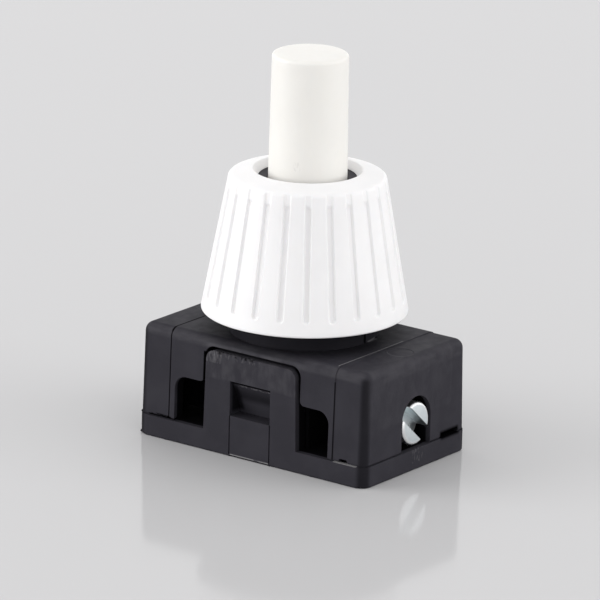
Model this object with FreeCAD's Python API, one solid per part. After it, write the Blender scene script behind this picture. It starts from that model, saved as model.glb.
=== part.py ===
import FreeCAD, Part
import math
import os

# Push on push off lamp switch with a threaded neck, in millimetres.
# +Z runs up the neck, +X along the long side, and -Y faces the front arm.
# The origin is the middle of the base plate's underside.

# Base plate and its two snap arms
base_length = 25.7
base_width = 15.9
base_thickness = 2.0
base_corner_r = 1.2
base_edge_chamfer = 0.15
arm_height = 7.55
arm_thickness = 1.5
arm_half_root = 5.2
arm_half_tip = 5.0
arm_corner_r = 0.9
window_half = 2.25
window_rise = 1.85
window_height = 3.25
groove_width = 0.12
groove_depth = 0.15
groove_foot = 0.2
pivot_r = 1.0
pivot_lead = 0.6
pivot_pad_r = 1.8
pivot_pad_height = 0.5
locator_size = 1.4
locator_height = 1.2
locator_gap = 0.1

# Housing, moulded in one with the boss and the neck
housing_inset = 0.12
housing_height = 8.64
housing_edge_r = 0.87
housing_side_draft = 0.24
housing_end_draft = 0.04
housing_wall = 1.3
housing_roof = 1.4
parting_relief = 0.12
mould_step = 0.05
mould_step_setback = 3.53
boss_r = 6.8
boss_height = 1.76
boss_notch_width = 0.35
boss_notch_depth = 0.4
neck_r = 4.95
neck_length = 12.55
neck_chamfer = 0.35
partition_wall = 0.6
recess_wall = 0.9
guide_wall = 0.8
guide_leaf_gap = 1.25

# Gaps round the arms, and the snap noses in their windows
arm_side_gap = 0.18
arm_top_gap = 0.3
arm_back_gap = 0.15
recess_corner_r = 1.0
nose_side_gap = 0.1
nose_ledge_gap = 0.12
nose_setback = 0.25

# Wire entries beside the arms, and the screw hole in each end
entry_width = 3.27
entry_height = 4.33
entry_corner_r = 1.2
entry_inner_r = 0.5
screw_hole_gap = 0.25
screw_hole_lift = 0.4
pry_slot_setback = 2.68
pry_slot_width = 2.7
pry_slot_height = 0.45
flash_notch_setback = 2.39
flash_notch_width = 0.94
flash_notch_height = 0.35

# Terminals
cage_depth = 4.8
cage_height = 4.4
cage_wall = 0.7
cage_thread_wall = 1.5
cage_gap = 0.1
cage_head_gap = 0.4
thread_r = 1.45
thread_clearance = 0.05
screw_head_r = 1.95
screw_head_length = 2.0
screw_face_setback = 0.05
screw_tip_setback = 0.05
slot_width = 1.4
slot_depth = 1.3
slot_turn = -41.0
rib_thickness = 0.8
rib_gap = 0.1

# Contacts
leaf_thickness = 0.3
leaf_height = 2.3
leaf_bend_r = 0.6
leaf_foot_length = 4.2
leaf_cross_gap = 0.8
leaf_tip_y = -1.3
leaf_slot_gap = 0.25
leaf_pocket_gap = 0.63
rivet_head_r = 0.9
rivet_head_height = 0.47
rivet_shank_r = 0.45
contact_gap = 0.08

# Rotor, its crown of ramps, and the contact bridge moulded into it
rotor_r = 3.3
rotor_drum_height = 2.85
rotor_float = 0.05
rotor_hub_r = 2.1
rotor_hub_height = 0.8
pivot_clearance = 0.06
crown_teeth = 4
crown_hub_gap = 0.2
crown_rise = 3.0
crown_rest_gap = 0.2
crown_play_deg = 2.0
crown_overcut = 0.4
bridge_hole_gap = 0.3
bridge_width = 3.6
bridge_thickness = 1.4
contact_rise = 1.55

# Return spring
spring_r = 1.75
spring_wire_r = 0.2
spring_wire_sides = 4
spring_turns = 3.5

# Push button
button_r = 3.52
button_stand = 11.55
button_edge_bevel = 0.3
button_top_wall = 1.3
button_bore_clearance = 0.08
button_seat_rise = 10.4
button_rib_thickness = 0.8
flange_r = 4.2
flange_thickness = 0.6
flange_clearance = 0.1
flange_stop_gap = 0.1
guide_rib_width = 1.0
guide_rib_depth = 0.45
guide_rib_gap = 0.1

# Screw cap
cap_foot_gap = 0.17
cap_bottom_r = 9.41
cap_shoulder_rise = 0.2
cap_shoulder_r = 7.12
cap_crown_height = 0.52
cap_hole_r = 4.81
cap_sleeve_wall = 1.15
cap_sleeve_lift = 0.45
cap_hollow_width = 1.12
cap_hollow_roof = 6.6
cap_thread_clearance = 0.08
cap_neck_gap = 0.05
cap_shoulder_bevel = 0.4
flute_count = 24
flute_first_deg = -7.3
flute_width = 0.66
flute_depth = 0.28
flute_foot_gap = 1.43
flute_head_gap = 0.5

# Heights and places that follow from the sizes above
past = 1.0
skin = 0.01
base_half_x = base_length / 2
base_half_y = base_width / 2
housing_half_x = base_half_x - housing_inset
housing_half_y = base_half_y - housing_inset
housing_top = base_thickness + housing_height
roof_z = housing_top - housing_roof
boss_top = housing_top + boss_height
neck_top = boss_top + neck_length
arm_top = base_thickness + arm_height
window_bottom = base_thickness + window_rise
window_top = window_bottom + window_height
mould_step_x = housing_half_x - mould_step_setback
flash_notch_x = housing_half_x - flash_notch_setback
pry_slot_y = housing_half_y - pry_slot_setback
arm_back_y = base_half_y - arm_thickness
recess_y = arm_back_y - arm_back_gap
recess_half = arm_half_root + arm_side_gap
recess_top = arm_top + arm_top_gap
entry_outer_x = recess_half + entry_width
entry_top = base_thickness + entry_height
rotor_foot_z = base_thickness + pivot_pad_height + rotor_float
rotor_drum_top = rotor_foot_z + rotor_drum_height
crown_inner_r = rotor_hub_r + crown_hub_gap
contact_z = rotor_foot_z + contact_rise
leaf_x = rotor_r + contact_gap + rivet_head_height + leaf_thickness / 2
leaf_cross_y = cage_depth / 2 + leaf_cross_gap
guide_foot_z = contact_z + leaf_height / 2 + guide_leaf_gap
pocket_half_x = leaf_x + leaf_thickness / 2 + leaf_pocket_gap
pocket_half_y = recess_y - recess_wall
bay_inner_x = pocket_half_x + partition_wall
bay_outer_x = housing_half_x - housing_wall
bay_half_y = housing_half_y - housing_wall
screw_face_x = housing_half_x - screw_face_setback
screw_seat_x = screw_face_x - screw_head_length
cage_x = bay_inner_x + cage_gap
cage_end_x = screw_seat_x - cage_head_gap
cage_foot_z = base_thickness + cage_gap
terminal_z = cage_foot_z + cage_height / 2
screw_tip_x = cage_end_x - cage_thread_wall + screw_tip_setback
screw_hole_r = screw_head_r + screw_hole_gap
screw_hole_arch_z = terminal_z + screw_hole_lift
rotor_hub_top = rotor_drum_top + rotor_hub_height
crown_top = rotor_drum_top + crown_rise
button_tip_z = crown_top + crown_rest_gap
button_root_z = button_tip_z + crown_rise
flange_top = button_root_z + flange_thickness
chamber_top = flange_top + flange_stop_gap
chamber_r = flange_r + flange_clearance
neck_bore_r = button_r + button_bore_clearance
button_seat_z = button_root_z + button_seat_rise
button_top = neck_top + button_stand
cap_bore_r = neck_r + cap_thread_clearance
cap_bottom_z = boss_top + cap_foot_gap
cap_ledge_z = neck_top + cap_neck_gap
cap_shoulder_z = cap_ledge_z + cap_shoulder_rise
cap_top_z = cap_shoulder_z + cap_crown_height
flute_foot_z = cap_bottom_z + flute_foot_gap
cap_lean = (cap_bottom_r - cap_shoulder_r) / (cap_shoulder_z - cap_bottom_z)

UP = FreeCAD.Vector(0, 0, 1)
ORIGIN = FreeCAD.Vector(0, 0, 0)


def vec(x, y, z):
    return FreeCAD.Vector(x, y, z)


def block(x0, x1, y0, y1, z0, z1):
    """A box between two corners."""
    return Part.makeBox(x1 - x0, y1 - y0, z1 - z0, vec(x0, y0, z0))


def post(r, z0, z1, x=0.0, y=0.0):
    """An upright cylinder."""
    return Part.makeCylinder(r, z1 - z0, vec(x, y, z0))


def ring(inner_r, outer_r, z0, z1):
    """An upright tube about the neck's axis."""
    return post(outer_r, z0, z1).cut(post(inner_r, z0 - past, z1 + past))


def along_x(r, x0, x1, y, z):
    """A cylinder lying along X."""
    return Part.makeCylinder(r, x1 - x0, vec(x0, y, z), vec(1, 0, 0))


def rounded(points, radii, place):
    """A closed wire through flat points whose corners are arcs of the given radii."""
    flat = [vec(a, b, 0) for a, b in points]
    stations = []
    for index, here in enumerate(flat):
        before = flat[index - 1]
        after = flat[(index + 1) % len(flat)]
        radius = radii[index]
        if radius <= 0:
            stations.append([here])
            continue
        inward = (before - here).normalize()
        onward = (after - here).normalize()
        half_angle = inward.getAngle(onward) / 2
        reach = radius / math.tan(half_angle)
        middle = (inward + onward).normalize()
        crest = here + middle * (radius / math.sin(half_angle) - radius)
        stations.append([here + inward * reach, crest, here + onward * reach])
    edges = []
    for index, station in enumerate(stations):
        spots = [place(p.x, p.y) for p in station]
        if len(spots) == 3:
            edges.append(Part.Arc(spots[0], spots[1], spots[2]).toShape())
        following = stations[(index + 1) % len(stations)][0]
        start = spots[-1]
        end = place(following.x, following.y)
        if start.distanceToPoint(end) > skin:
            edges.append(Part.LineSegment(start, end).toShape())
    return Part.Wire(edges)


def front_plate(points, radii, y0, y1):
    """A plate cut to an outline seen from the front, between two depths."""
    wire = rounded(points, radii, lambda a, b: vec(a, y0, b))
    return Part.Face(wire).extrude(vec(0, y1 - y0, 0))


def side_plate(points, radii, x0, x1):
    """A plate cut to an outline seen from the end, between two places along X."""
    wire = rounded(points, radii, lambda a, b: vec(x0, a, b))
    return Part.Face(wire).extrude(vec(x1 - x0, 0, 0))


def floor_plate(points, radii, z0, z1):
    """A plate cut to an outline seen from above, between two heights."""
    wire = rounded(points, radii, lambda a, b: vec(a, b, z0))
    return Part.Face(wire).extrude(vec(0, 0, z1 - z0))


def bevelled(points, legs):
    """The same outline with each corner cut back straight by its leg along both sides."""
    cut = []
    for index, here in enumerate(points):
        leg = legs[index]
        if leg <= 0:
            cut.append(here)
            continue
        for other in (points[index - 1], points[(index + 1) % len(points)]):
            reach = leg / math.dist(here, other)
            cut.append((here[0] + (other[0] - here[0]) * reach, here[1] + (other[1] - here[1]) * reach))
    return cut


def turned(points, legs):
    """A solid of revolution about the neck's axis from a half section (radius, height)."""
    corners = [vec(a, 0, b) for a, b in bevelled(points, legs)]
    return Part.Face(Part.makePolygon(corners + corners[:1])).revolve(ORIGIN, UP, 360)


def half_turn(shape):
    """The same piece on the other end of the switch."""
    other = shape.copy()
    other.rotate(ORIGIN, UP, 180)
    return other


def both_ends(shape):
    return [shape, half_turn(shape)]


def heights(thing):
    """The lowest and highest corner of a piece or an edge."""
    levels = [corner.Z for corner in thing.Vertexes]
    return min(levels), max(levels)


def upright_edges(shape):
    """Edges that join the top of a block to its foot."""
    foot, top = heights(shape)
    return [e for e in shape.Edges if heights(e)[1] - heights(e)[0] > (top - foot) * 0.9]


def top_edges(shape):
    """Edges that lie in the top face."""
    top = heights(shape)[1]
    return [e for e in shape.Edges if heights(e)[0] > top - skin]


def foot_edges(shape):
    """Edges that lie in the underside."""
    foot = heights(shape)[0]
    return [e for e in shape.Edges if heights(e)[1] < foot + skin]


def tapered_block(half_x, half_y, z1):
    """The housing's moulded box with drafted walls, rounded upright corners and a rounded top edge."""
    z0 = base_thickness
    a = half_x - housing_end_draft
    b = half_y - housing_side_draft
    square = [0, 0, 0, 0]
    front = [(-half_x, z0), (half_x, z0), (a, z1), (-a, z1)]
    side = [(-half_y, z0), (half_y, z0), (b, z1), (-b, z1)]
    body = front_plate(front, square, -half_y - past, half_y + past)
    body = body.common(side_plate(side, square, -half_x - past, half_x + past))
    return body.makeFillet(housing_edge_r, upright_edges(body) + top_edges(body))


def housing_envelope():
    """The housing's outside: a middle stretch that stands one mould step proud of both ends."""
    proud = tapered_block(housing_half_x, housing_half_y, housing_top)
    ends = tapered_block(housing_half_x, housing_half_y - mould_step, housing_top - mould_step)
    reach_y = housing_half_y + past
    middle = block(-mould_step_x, mould_step_x, -reach_y, reach_y, base_thickness - past, housing_top + past)
    return proud.common(middle).fuse(ends.cut(middle))


def housing_foot_relief():
    """A shallow step round the housing's lower edge, which shows as the parting line."""
    reach_x = housing_half_x + past
    reach_y = housing_half_y + past
    low = base_thickness - past
    outer = block(-reach_x, reach_x, -reach_y, reach_y, low, base_thickness + parting_relief)
    a = housing_half_x - parting_relief
    b = housing_half_y - parting_relief
    core = block(-a, a, -b, b, low - past, base_thickness + past)
    return outer.cut(core)


def front_cut():
    """The arm's recess and the two wire entries beside it, as one opening seen from the front."""
    low = base_thickness - past
    half = [(recess_half, recess_top), (recess_half, entry_top)]
    half += [(entry_outer_x, entry_top), (entry_outer_x, low)]
    arcs = [recess_corner_r, entry_inner_r, entry_corner_r, 0]
    points = [(-a, b) for a, b in half[::-1]] + half
    return front_plate(points, arcs[::-1] + arcs, -base_half_y - past, -recess_y)


def end_cuts():
    """The arched screw hole and the pry slot in one end wall, and the notch in the front's lower edge."""
    low = base_thickness - past
    x0 = bay_outer_x - past
    x1 = housing_half_x + past
    hole = along_x(screw_hole_r, x0, x1, 0, screw_hole_arch_z)
    stem = block(x0, x1, -screw_hole_r, screw_hole_r, low, screw_hole_arch_z)
    a = pry_slot_y - pry_slot_width / 2
    b = pry_slot_y + pry_slot_width / 2
    top = base_thickness + pry_slot_height
    slot_r = pry_slot_height / 2
    outline = [(a, low), (b, low), (b, top), (a, top)]
    slot = side_plate(outline, [0, 0, slot_r, slot_r], bay_outer_x + housing_wall / 2, x1)
    a = flash_notch_x - flash_notch_width / 2
    b = flash_notch_x + flash_notch_width / 2
    top = base_thickness + flash_notch_height
    outline = bevelled([(a, low), (b, low), (b, top), (a, top)], [0, 0, parting_relief, parting_relief])
    y0 = -housing_half_y - past
    notch = front_plate(outline, [0] * len(outline), y0, -housing_half_y + housing_wall / 2)
    return [hole, stem, slot, notch]


def terminal_bay():
    """The hollow for one terminal, behind a wire entry on each side."""
    return block(bay_inner_x, bay_outer_x, -bay_half_y, bay_half_y, base_thickness - past, roof_z)


def terminal_ribs():
    """Ribs that hold a terminal cage sideways and down."""
    ribs = []
    inner = cage_depth / 2 + rib_gap
    x0 = entry_outer_x + rib_gap
    x1 = bay_outer_x + skin
    foot = base_thickness + rib_gap
    top = roof_z + skin
    for y0 in (inner, -inner - rib_thickness):
        ribs.append(block(x0, x1, y0, y0 + rib_thickness, foot, top))
    x0 = (cage_x + cage_end_x - rib_thickness) / 2
    foot = cage_foot_z + cage_height + rib_gap
    ribs.append(block(x0, x0 + rib_thickness, -cage_depth / 2, cage_depth / 2, foot, top))
    return ribs


def snap_nose():
    """A wedge on the front recess wall: level ledge on top, lead-in slope below."""
    tip_y = base_half_y - nose_setback
    root_y = recess_y - recess_wall / 2
    ledge = window_top - nose_ledge_gap
    half = window_half - nose_side_gap
    points = [(-root_y, window_bottom), (-recess_y, window_bottom), (-tip_y, ledge), (-root_y, ledge)]
    return side_plate(points, [0, 0, 0.08, 0], -half, half)


def guide_ribs():
    """Two upright ribs in the round chamber that stop the button turning."""
    ribs = []
    for side in (1, -1):
        y0 = min(side * (chamber_r - guide_rib_depth), side * (chamber_r + guide_wall / 2))
        y1 = max(side * (chamber_r - guide_rib_depth), side * (chamber_r + guide_wall / 2))
        ribs.append(block(-guide_rib_width / 2, guide_rib_width / 2, y0, y1, guide_foot_z, chamber_top))
    return ribs


def leaf_slots():
    """Gaps in the partitions where the contact leaves pass from terminal to rotor."""
    half = leaf_thickness / 2 + leaf_slot_gap
    top = contact_z + leaf_height / 2 + leaf_slot_gap
    x0 = pocket_half_x - partition_wall
    x1 = bay_inner_x + partition_wall
    return both_ends(block(x0, x1, leaf_cross_y - half, leaf_cross_y + half, base_thickness - past, top))


def housing():
    body = housing_envelope()
    boss = post(boss_r, housing_top - housing_edge_r, boss_top)
    neck = post(neck_r, boss_top - housing_roof, neck_top)
    neck = neck.makeChamfer(neck_chamfer, top_edges(neck))
    body = body.fuse([boss, neck])
    low = base_thickness - past
    pocket = block(-pocket_half_x, pocket_half_x, -pocket_half_y, pocket_half_y, low, roof_z)
    cuts = [front_cut(), half_turn(front_cut()), housing_foot_relief(), pocket]
    cuts += both_ends(terminal_bay()) + leaf_slots()
    for cut in end_cuts():
        cuts += both_ends(cut)
    half = boss_notch_width / 2
    cuts.append(block(boss_r - boss_notch_depth, boss_r + past, -half, half, housing_top, boss_top + past))
    body = body.cut(cuts)
    guide = post(chamber_r + guide_wall, guide_foot_z, roof_z + skin)
    noses = both_ends(snap_nose())
    body = body.fuse([guide] + noses + [rib for end in terminal_ribs() for rib in both_ends(end)])
    chamber = post(chamber_r, base_thickness, chamber_top)
    body = body.cut([chamber, post(neck_bore_r, base_thickness, neck_top + past)])
    return body.fuse(guide_ribs()).removeSplitter()


def arm_outline():
    """The arm seen from the front, from inside the plate to its rounded tip."""
    low = base_thickness / 2
    points = [(arm_half_root, low), (arm_half_root, base_thickness), (arm_half_tip, arm_top),
              (-arm_half_tip, arm_top), (-arm_half_root, base_thickness), (-arm_half_root, low)]
    return points, [0, 0, arm_corner_r, arm_corner_r, 0, 0]


def snap_arm():
    """One arm with its window, flush with the front of the base plate."""
    points, radii = arm_outline()
    arm = front_plate(points, radii, -base_half_y, -arm_back_y)
    y0 = -base_half_y - past
    y1 = -arm_back_y + past
    return arm.cut(block(-window_half, window_half, y0, y1, window_bottom, window_top))


def arm_grooves():
    """Two fine grooves that run down from the window's corners."""
    grooves = []
    for x in (window_half, -window_half):
        grooves.append(block(x - groove_width / 2, x + groove_width / 2, -base_half_y - past,
                             -base_half_y + groove_depth, groove_foot, window_bottom + skin))
    return grooves


def locators():
    """Four small blocks on the plate that centre the housing's inner corners."""
    x1 = bay_outer_x - locator_gap
    y1 = bay_half_y - locator_gap
    top = base_thickness + locator_height
    blocks = []
    for y0 in (y1 - locator_size, -y1):
        corner = block(x1 - locator_size, x1, y0, y0 + locator_size, base_thickness / 2, top)
        corner = corner.makeChamfer(locator_gap * 2, top_edges(corner))
        blocks += both_ends(corner)
    return blocks


def base_plate():
    plate = block(-base_half_x, base_half_x, -base_half_y, base_half_y, 0, base_thickness)
    plate = plate.makeFillet(base_corner_r, upright_edges(plate))
    plate = plate.makeChamfer(base_edge_chamfer, foot_edges(plate))
    arm = snap_arm()
    additions = [arm, half_turn(arm)]
    additions.append(post(pivot_pad_r, base_thickness / 2, base_thickness + pivot_pad_height))
    additions.append(post(pivot_r, base_thickness / 2, rotor_hub_top + pivot_lead))
    additions += locators()
    body = plate.fuse(additions)
    cuts = []
    for groove in arm_grooves():
        cuts += both_ends(groove)
    return body.cut(cuts).removeSplitter()


def ramp(inner_r, outer_r, z0, rise, span_deg, depth):
    """A slab that climbs round the axis from z0 by rise over span_deg, depth thick (up if positive)."""
    pitch = rise * 360 / span_deg
    path = Part.makeHelix(pitch, rise, outer_r)
    path.translate(vec(0, 0, z0))
    inside = inner_r - crown_overcut
    outside = outer_r + crown_overcut
    z1 = z0 + depth
    corners = [vec(inside, 0, z0), vec(outside, 0, z0), vec(outside, 0, z1), vec(inside, 0, z1)]
    section = Part.makePolygon(corners + corners[:1])
    return Part.Wire(path.Edges).makePipeShell([section], True, True)


def crown(z0, inner_r, outer_r, upward, play_deg):
    """A ring of ramps: each rises from z0 round its share of the circle and ends in a steep face."""
    share = 360 / crown_teeth
    rise = crown_rise * (share - play_deg) / share
    depth = crown_rise if not upward else -crown_rise
    slab = ramp(inner_r, outer_r, z0, rise, share - play_deg, depth)
    if upward:
        keep = ring(inner_r, outer_r, z0 - skin, z0 + crown_rise + past)
    else:
        keep = ring(inner_r, outer_r, z0 - past, z0 + crown_rise + skin)
    tooth = slab.common(keep)
    teeth = []
    for index in range(crown_teeth):
        copy = tooth.copy()
        copy.rotate(ORIGIN, UP, index * share + play_deg / 2)
        teeth.append(copy)
    return teeth


def bridge_shape():
    """The stamped contact bridge: a bar across the drum with a hole for the pivot."""
    z0 = contact_z - bridge_thickness / 2
    z1 = contact_z + bridge_thickness / 2
    bar = block(-rotor_r - past, rotor_r + past, -bridge_width / 2, bridge_width / 2, z0, z1)
    bar = bar.common(post(rotor_r, z0, z1))
    return bar.cut(post(pivot_r + pivot_clearance + bridge_hole_gap, z0 - past, z1 + past))


def ratchet_rotor():
    drum = post(rotor_r, rotor_foot_z, rotor_drum_top)
    hub = post(rotor_hub_r, rotor_foot_z, rotor_hub_top)
    body = drum.fuse([hub] + crown(rotor_drum_top, crown_inner_r, rotor_r, True, 0.0))
    bore = post(pivot_r + pivot_clearance, rotor_foot_z - past, rotor_hub_top + past)
    return body.cut([bore, bridge_shape()]).removeSplitter()


def return_spring():
    """A coil of wire between the rotor's hub and the button's ribs."""
    start = rotor_hub_top + spring_wire_r
    rise = button_seat_z - spring_wire_r - start
    path = Part.makeHelix(rise / spring_turns, rise, spring_r)
    path.translate(vec(0, 0, start))
    corners = []
    for index in range(spring_wire_sides):
        turn = 2 * math.pi * (index + 0.5) / spring_wire_sides
        across = spring_wire_r * math.cos(turn)
        corners.append(vec(spring_r + across, 0, start + spring_wire_r * math.sin(turn)))
    section = Part.makePolygon(corners + corners[:1])
    return Part.Wire(path.Edges).makePipeShell([section], True, True)


def push_button():
    points = [(0, button_top), (button_r, button_top), (button_r, flange_top), (flange_r, flange_top),
              (flange_r, button_root_z), (0, button_root_z)]
    body = turned(points, [0, button_edge_bevel, 0, 0, 0, 0])
    hollow = post(crown_inner_r, button_root_z - past, button_top - button_top_wall)
    half = button_rib_thickness / 2
    reach = crown_inner_r + skin
    rib_top = button_top - button_top_wall / 2
    ribs = [block(-reach, reach, -half, half, button_seat_z, rib_top),
            block(-half, half, -reach, reach, button_seat_z, rib_top)]
    body = body.cut(hollow).fuse(ribs)
    notch_half = guide_rib_width / 2 + guide_rib_gap
    notch_y = chamber_r - guide_rib_depth - guide_rib_gap
    notch = block(-notch_half, notch_half, notch_y, flange_r + past, button_root_z - past, flange_top + past)
    body = body.cut(both_ends(notch))
    teeth = crown(button_tip_z, crown_inner_r, rotor_r, False, crown_play_deg)
    return body.fuse(teeth).removeSplitter()


def cap_outer_r(z):
    """The cone's radius at a height, before the flutes."""
    return cap_bottom_r - cap_lean * (z - cap_bottom_z)


def flute_cutter():
    """A shallow groove that runs up the cone, at the +X side."""
    lean = math.atan(cap_lean)
    along = vec(-math.sin(lean), 0, math.cos(lean))
    inward = vec(-math.cos(lean), 0, -math.sin(lean))
    foot = vec(cap_outer_r(flute_foot_z), 0, flute_foot_z) - inward * past
    length = (cap_shoulder_z - flute_head_gap - flute_foot_z) / math.cos(lean)
    half = flute_width / 2
    points = [(-half, 0), (half, 0), (half, length), (-half, length)]
    corners = [foot + vec(0, a, 0) + along * b for a, b in points]
    return Part.Face(Part.makePolygon(corners + corners[:1])).extrude(inward * (past + flute_depth))


def screw_cap():
    sleeve_r = cap_bore_r + cap_sleeve_wall
    hollow_r = sleeve_r + cap_hollow_width
    hollow_top = cap_ledge_z - cap_hollow_roof
    sleeve_foot = cap_bottom_z + cap_sleeve_lift
    outside = [(hollow_r, cap_bottom_z), (cap_bottom_r, cap_bottom_z), (cap_shoulder_r, cap_shoulder_z),
               (cap_hole_r, cap_top_z)]
    inside = [(cap_hole_r, cap_ledge_z), (cap_bore_r, cap_ledge_z), (cap_bore_r, sleeve_foot),
              (sleeve_r, sleeve_foot), (sleeve_r, hollow_top), (hollow_r, hollow_top)]
    legs = [0, 0, cap_shoulder_bevel, 0] + [0] * len(inside)
    body = turned(outside + inside, legs)
    cutter = flute_cutter()
    cutters = []
    for index in range(flute_count):
        copy = cutter.copy()
        copy.rotate(ORIGIN, UP, flute_first_deg + index * 360 / flute_count)
        cutters.append(copy)
    return body.cut(cutters)


def terminal_cage():
    """A square clamp: a threaded wall toward the end, and a passage for the wire along Y."""
    top = cage_foot_z + cage_height
    thread_x = cage_end_x - cage_thread_wall
    body = block(cage_x, cage_end_x, -cage_depth / 2, cage_depth / 2, cage_foot_z, top)
    foot = cage_foot_z + cage_wall
    passage = block(cage_x + cage_wall, thread_x, -cage_depth, cage_depth, foot, top - cage_wall)
    bore = along_x(thread_r + thread_clearance, thread_x - skin, cage_end_x + past, 0, terminal_z)
    return body.cut([passage, bore])


def terminal_screw():
    """A slotted clamp screw lying along X, its face level with the end of the housing."""
    head = along_x(screw_head_r, screw_seat_x, screw_face_x, 0, terminal_z)
    shank = along_x(thread_r, screw_tip_x, screw_seat_x + skin, 0, terminal_z)
    reach = screw_head_r + past
    half = slot_width / 2
    x0 = screw_face_x - slot_depth
    slot = block(x0, screw_face_x + past, -reach, reach, terminal_z - half, terminal_z + half)
    slot.rotate(vec(0, 0, terminal_z), vec(1, 0, 0), slot_turn)
    return head.fuse(shank).cut(slot).removeSplitter()


def leaf_outline():
    """The leaf seen from above: foot in the cage, across the partition, and back beside the rotor."""
    half = leaf_thickness / 2
    foot_x = cage_x + cage_wall + half
    foot_y = leaf_cross_y - leaf_foot_length
    far_y = leaf_cross_y + half
    near_y = leaf_cross_y - half
    outside = [(foot_x + half, foot_y), (foot_x + half, far_y)]
    outside += [(leaf_x - half, far_y), (leaf_x - half, leaf_tip_y)]
    inside = [(leaf_x + half, leaf_tip_y), (leaf_x + half, near_y)]
    inside += [(foot_x - half, near_y), (foot_x - half, foot_y)]
    large = leaf_bend_r + half
    small = leaf_bend_r - half
    return outside + inside, [0, large, large, 0, 0, small, small, 0]


def contact_spring():
    points, radii = leaf_outline()
    leaf = floor_plate(points, radii, contact_z - leaf_height / 2, contact_z + leaf_height / 2)
    return leaf.cut(along_x(rivet_shank_r, leaf_x - past, leaf_x + past, 0, contact_z))


def contact_rivet():
    """A flat contact riveted through the leaf, facing the rotor."""
    face_x = rotor_r + contact_gap
    inner_x = leaf_x - leaf_thickness / 2
    head = along_x(rivet_head_r, face_x, inner_x, 0, contact_z)
    shank = along_x(rivet_shank_r, inner_x - skin, inner_x + leaf_thickness, 0, contact_z)
    return head.fuse(shank).removeSplitter()


def save(shape, node):
    print(node, "solids", len(shape.Solids), "valid", shape.isValid(), "volume %.2f" % shape.Volume)
    shape.exportStep("parts/" + node + ".step")


os.makedirs("parts", exist_ok=True)
save(housing(), "housing")
save(base_plate(), "base_plate")
save(push_button(), "push_button")
save(screw_cap(), "screw_cap")
save(return_spring(), "return_spring")
save(ratchet_rotor(), "ratchet_rotor")
save(bridge_shape(), "contact_bridge")
for part, name in ((terminal_cage(), "terminal_cage"), (terminal_screw(), "terminal_screw"),
                   (contact_spring(), "contact_spring"), (contact_rivet(), "contact_rivet")):
    save(part, "right_" + name)
    save(half_turn(part), "left_" + name)
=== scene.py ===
"""Looks of a push on push off lamp switch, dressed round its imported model.

The switch stands on its base plate. +Z runs up the neck, +X along the long side to the end
whose screw shows, and -Y to the snap arm in front. Sizes here are in millimetres, and they
become metres when a mesh is made.
"""
import logging
import math
from dataclasses import dataclass
from enum import Enum
from itertools import chain

import bmesh
import bpy
import numpy as np
from mathutils import Matrix, Vector


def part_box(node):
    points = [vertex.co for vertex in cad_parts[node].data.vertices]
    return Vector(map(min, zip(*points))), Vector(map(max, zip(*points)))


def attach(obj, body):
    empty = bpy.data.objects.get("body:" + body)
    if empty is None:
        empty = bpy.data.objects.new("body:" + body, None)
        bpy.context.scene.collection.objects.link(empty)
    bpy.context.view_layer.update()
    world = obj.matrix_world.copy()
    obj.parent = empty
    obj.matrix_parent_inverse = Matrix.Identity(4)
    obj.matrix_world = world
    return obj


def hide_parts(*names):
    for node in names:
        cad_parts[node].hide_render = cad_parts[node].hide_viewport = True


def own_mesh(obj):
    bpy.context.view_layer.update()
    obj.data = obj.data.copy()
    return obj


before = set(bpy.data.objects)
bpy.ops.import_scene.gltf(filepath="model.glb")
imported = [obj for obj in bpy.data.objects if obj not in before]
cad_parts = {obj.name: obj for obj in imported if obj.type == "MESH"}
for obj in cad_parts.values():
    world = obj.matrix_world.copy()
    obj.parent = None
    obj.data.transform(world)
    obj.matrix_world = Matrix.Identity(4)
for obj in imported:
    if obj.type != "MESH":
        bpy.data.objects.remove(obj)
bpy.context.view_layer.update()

MM = 0.001
TURN = 2 * math.pi
SMOOTH_ANGLE = math.radians(35)
# Places that agree to this many digits of a millimetre are one point
WELD_DIGITS = 4
# A thread's flanks, the width of its flat crest, and how finely it is drawn
THREAD_SLOPE = 2.6
THREAD_FLAT = 0.15
ROWS_PER_PITCH = 8
# Finer layers in a noise, and the values between which its patches fade in
COARSE, MEDIUM, FINE = 2.0, 3.0, 4.0
CLOUDS = (0.35, 0.7)
EVEN = (0.3, 0.7)
EDGE_SAMPLES = 6

log = logging.getLogger("lamp_switch")
Array = np.ndarray
Place = tuple[float, float, float]
Colour = tuple[float, float, float, float]
Output = bpy.types.NodeSocket
Material = bpy.types.Material


class Body(Enum):
    """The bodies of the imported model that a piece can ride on."""

    SWITCH = "switch_body"
    BUTTON = "button"
    ROTOR = "rotor"
    CAP = "cap"
    RIGHT_SCREW = "right_screw"
    LEFT_SCREW = "left_screw"


class Slot(Enum):
    """The record's names for the finishes."""

    BLACK = "body_black"
    WHITE = "cap_white"
    CREAM = "button_cream"
    NATURAL = "rotor_plastic"
    ZINC = "screw_zinc"
    BRASS = "contact_brass"
    SILVER = "contact_silver"
    SPRING = "spring_steel"


Finishes = dict[Slot, Material]


class End(Enum):
    """The two ends of the switch: the left one is the right one after half a turn about the neck."""

    RIGHT = 1
    LEFT = -1


def ease(low: float, high: float, value: Array) -> Array:
    """A soft step: 0 up to low, 1 from high, and 3t^2 - 2t^3 of the share t in between.

    Args:
        low: where the step starts.
        high: where it ends.
        value: the values to look up.

    Returns:
        The step's height for each value, from 0 to 1.
    """
    share = np.clip((value - low) / (high - low), 0, 1)
    return share * share * (3 - 2 * share)


def polar(radius: Array, turn: Array, z: Array) -> Array:
    """Points (..., 3) about the neck's axis: x = r cos t, y = r sin t, at height z."""
    radius, turn, z = np.broadcast_arrays(radius, turn, z)
    return np.stack([radius * np.cos(turn), radius * np.sin(turn), z], axis=-1)


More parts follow.
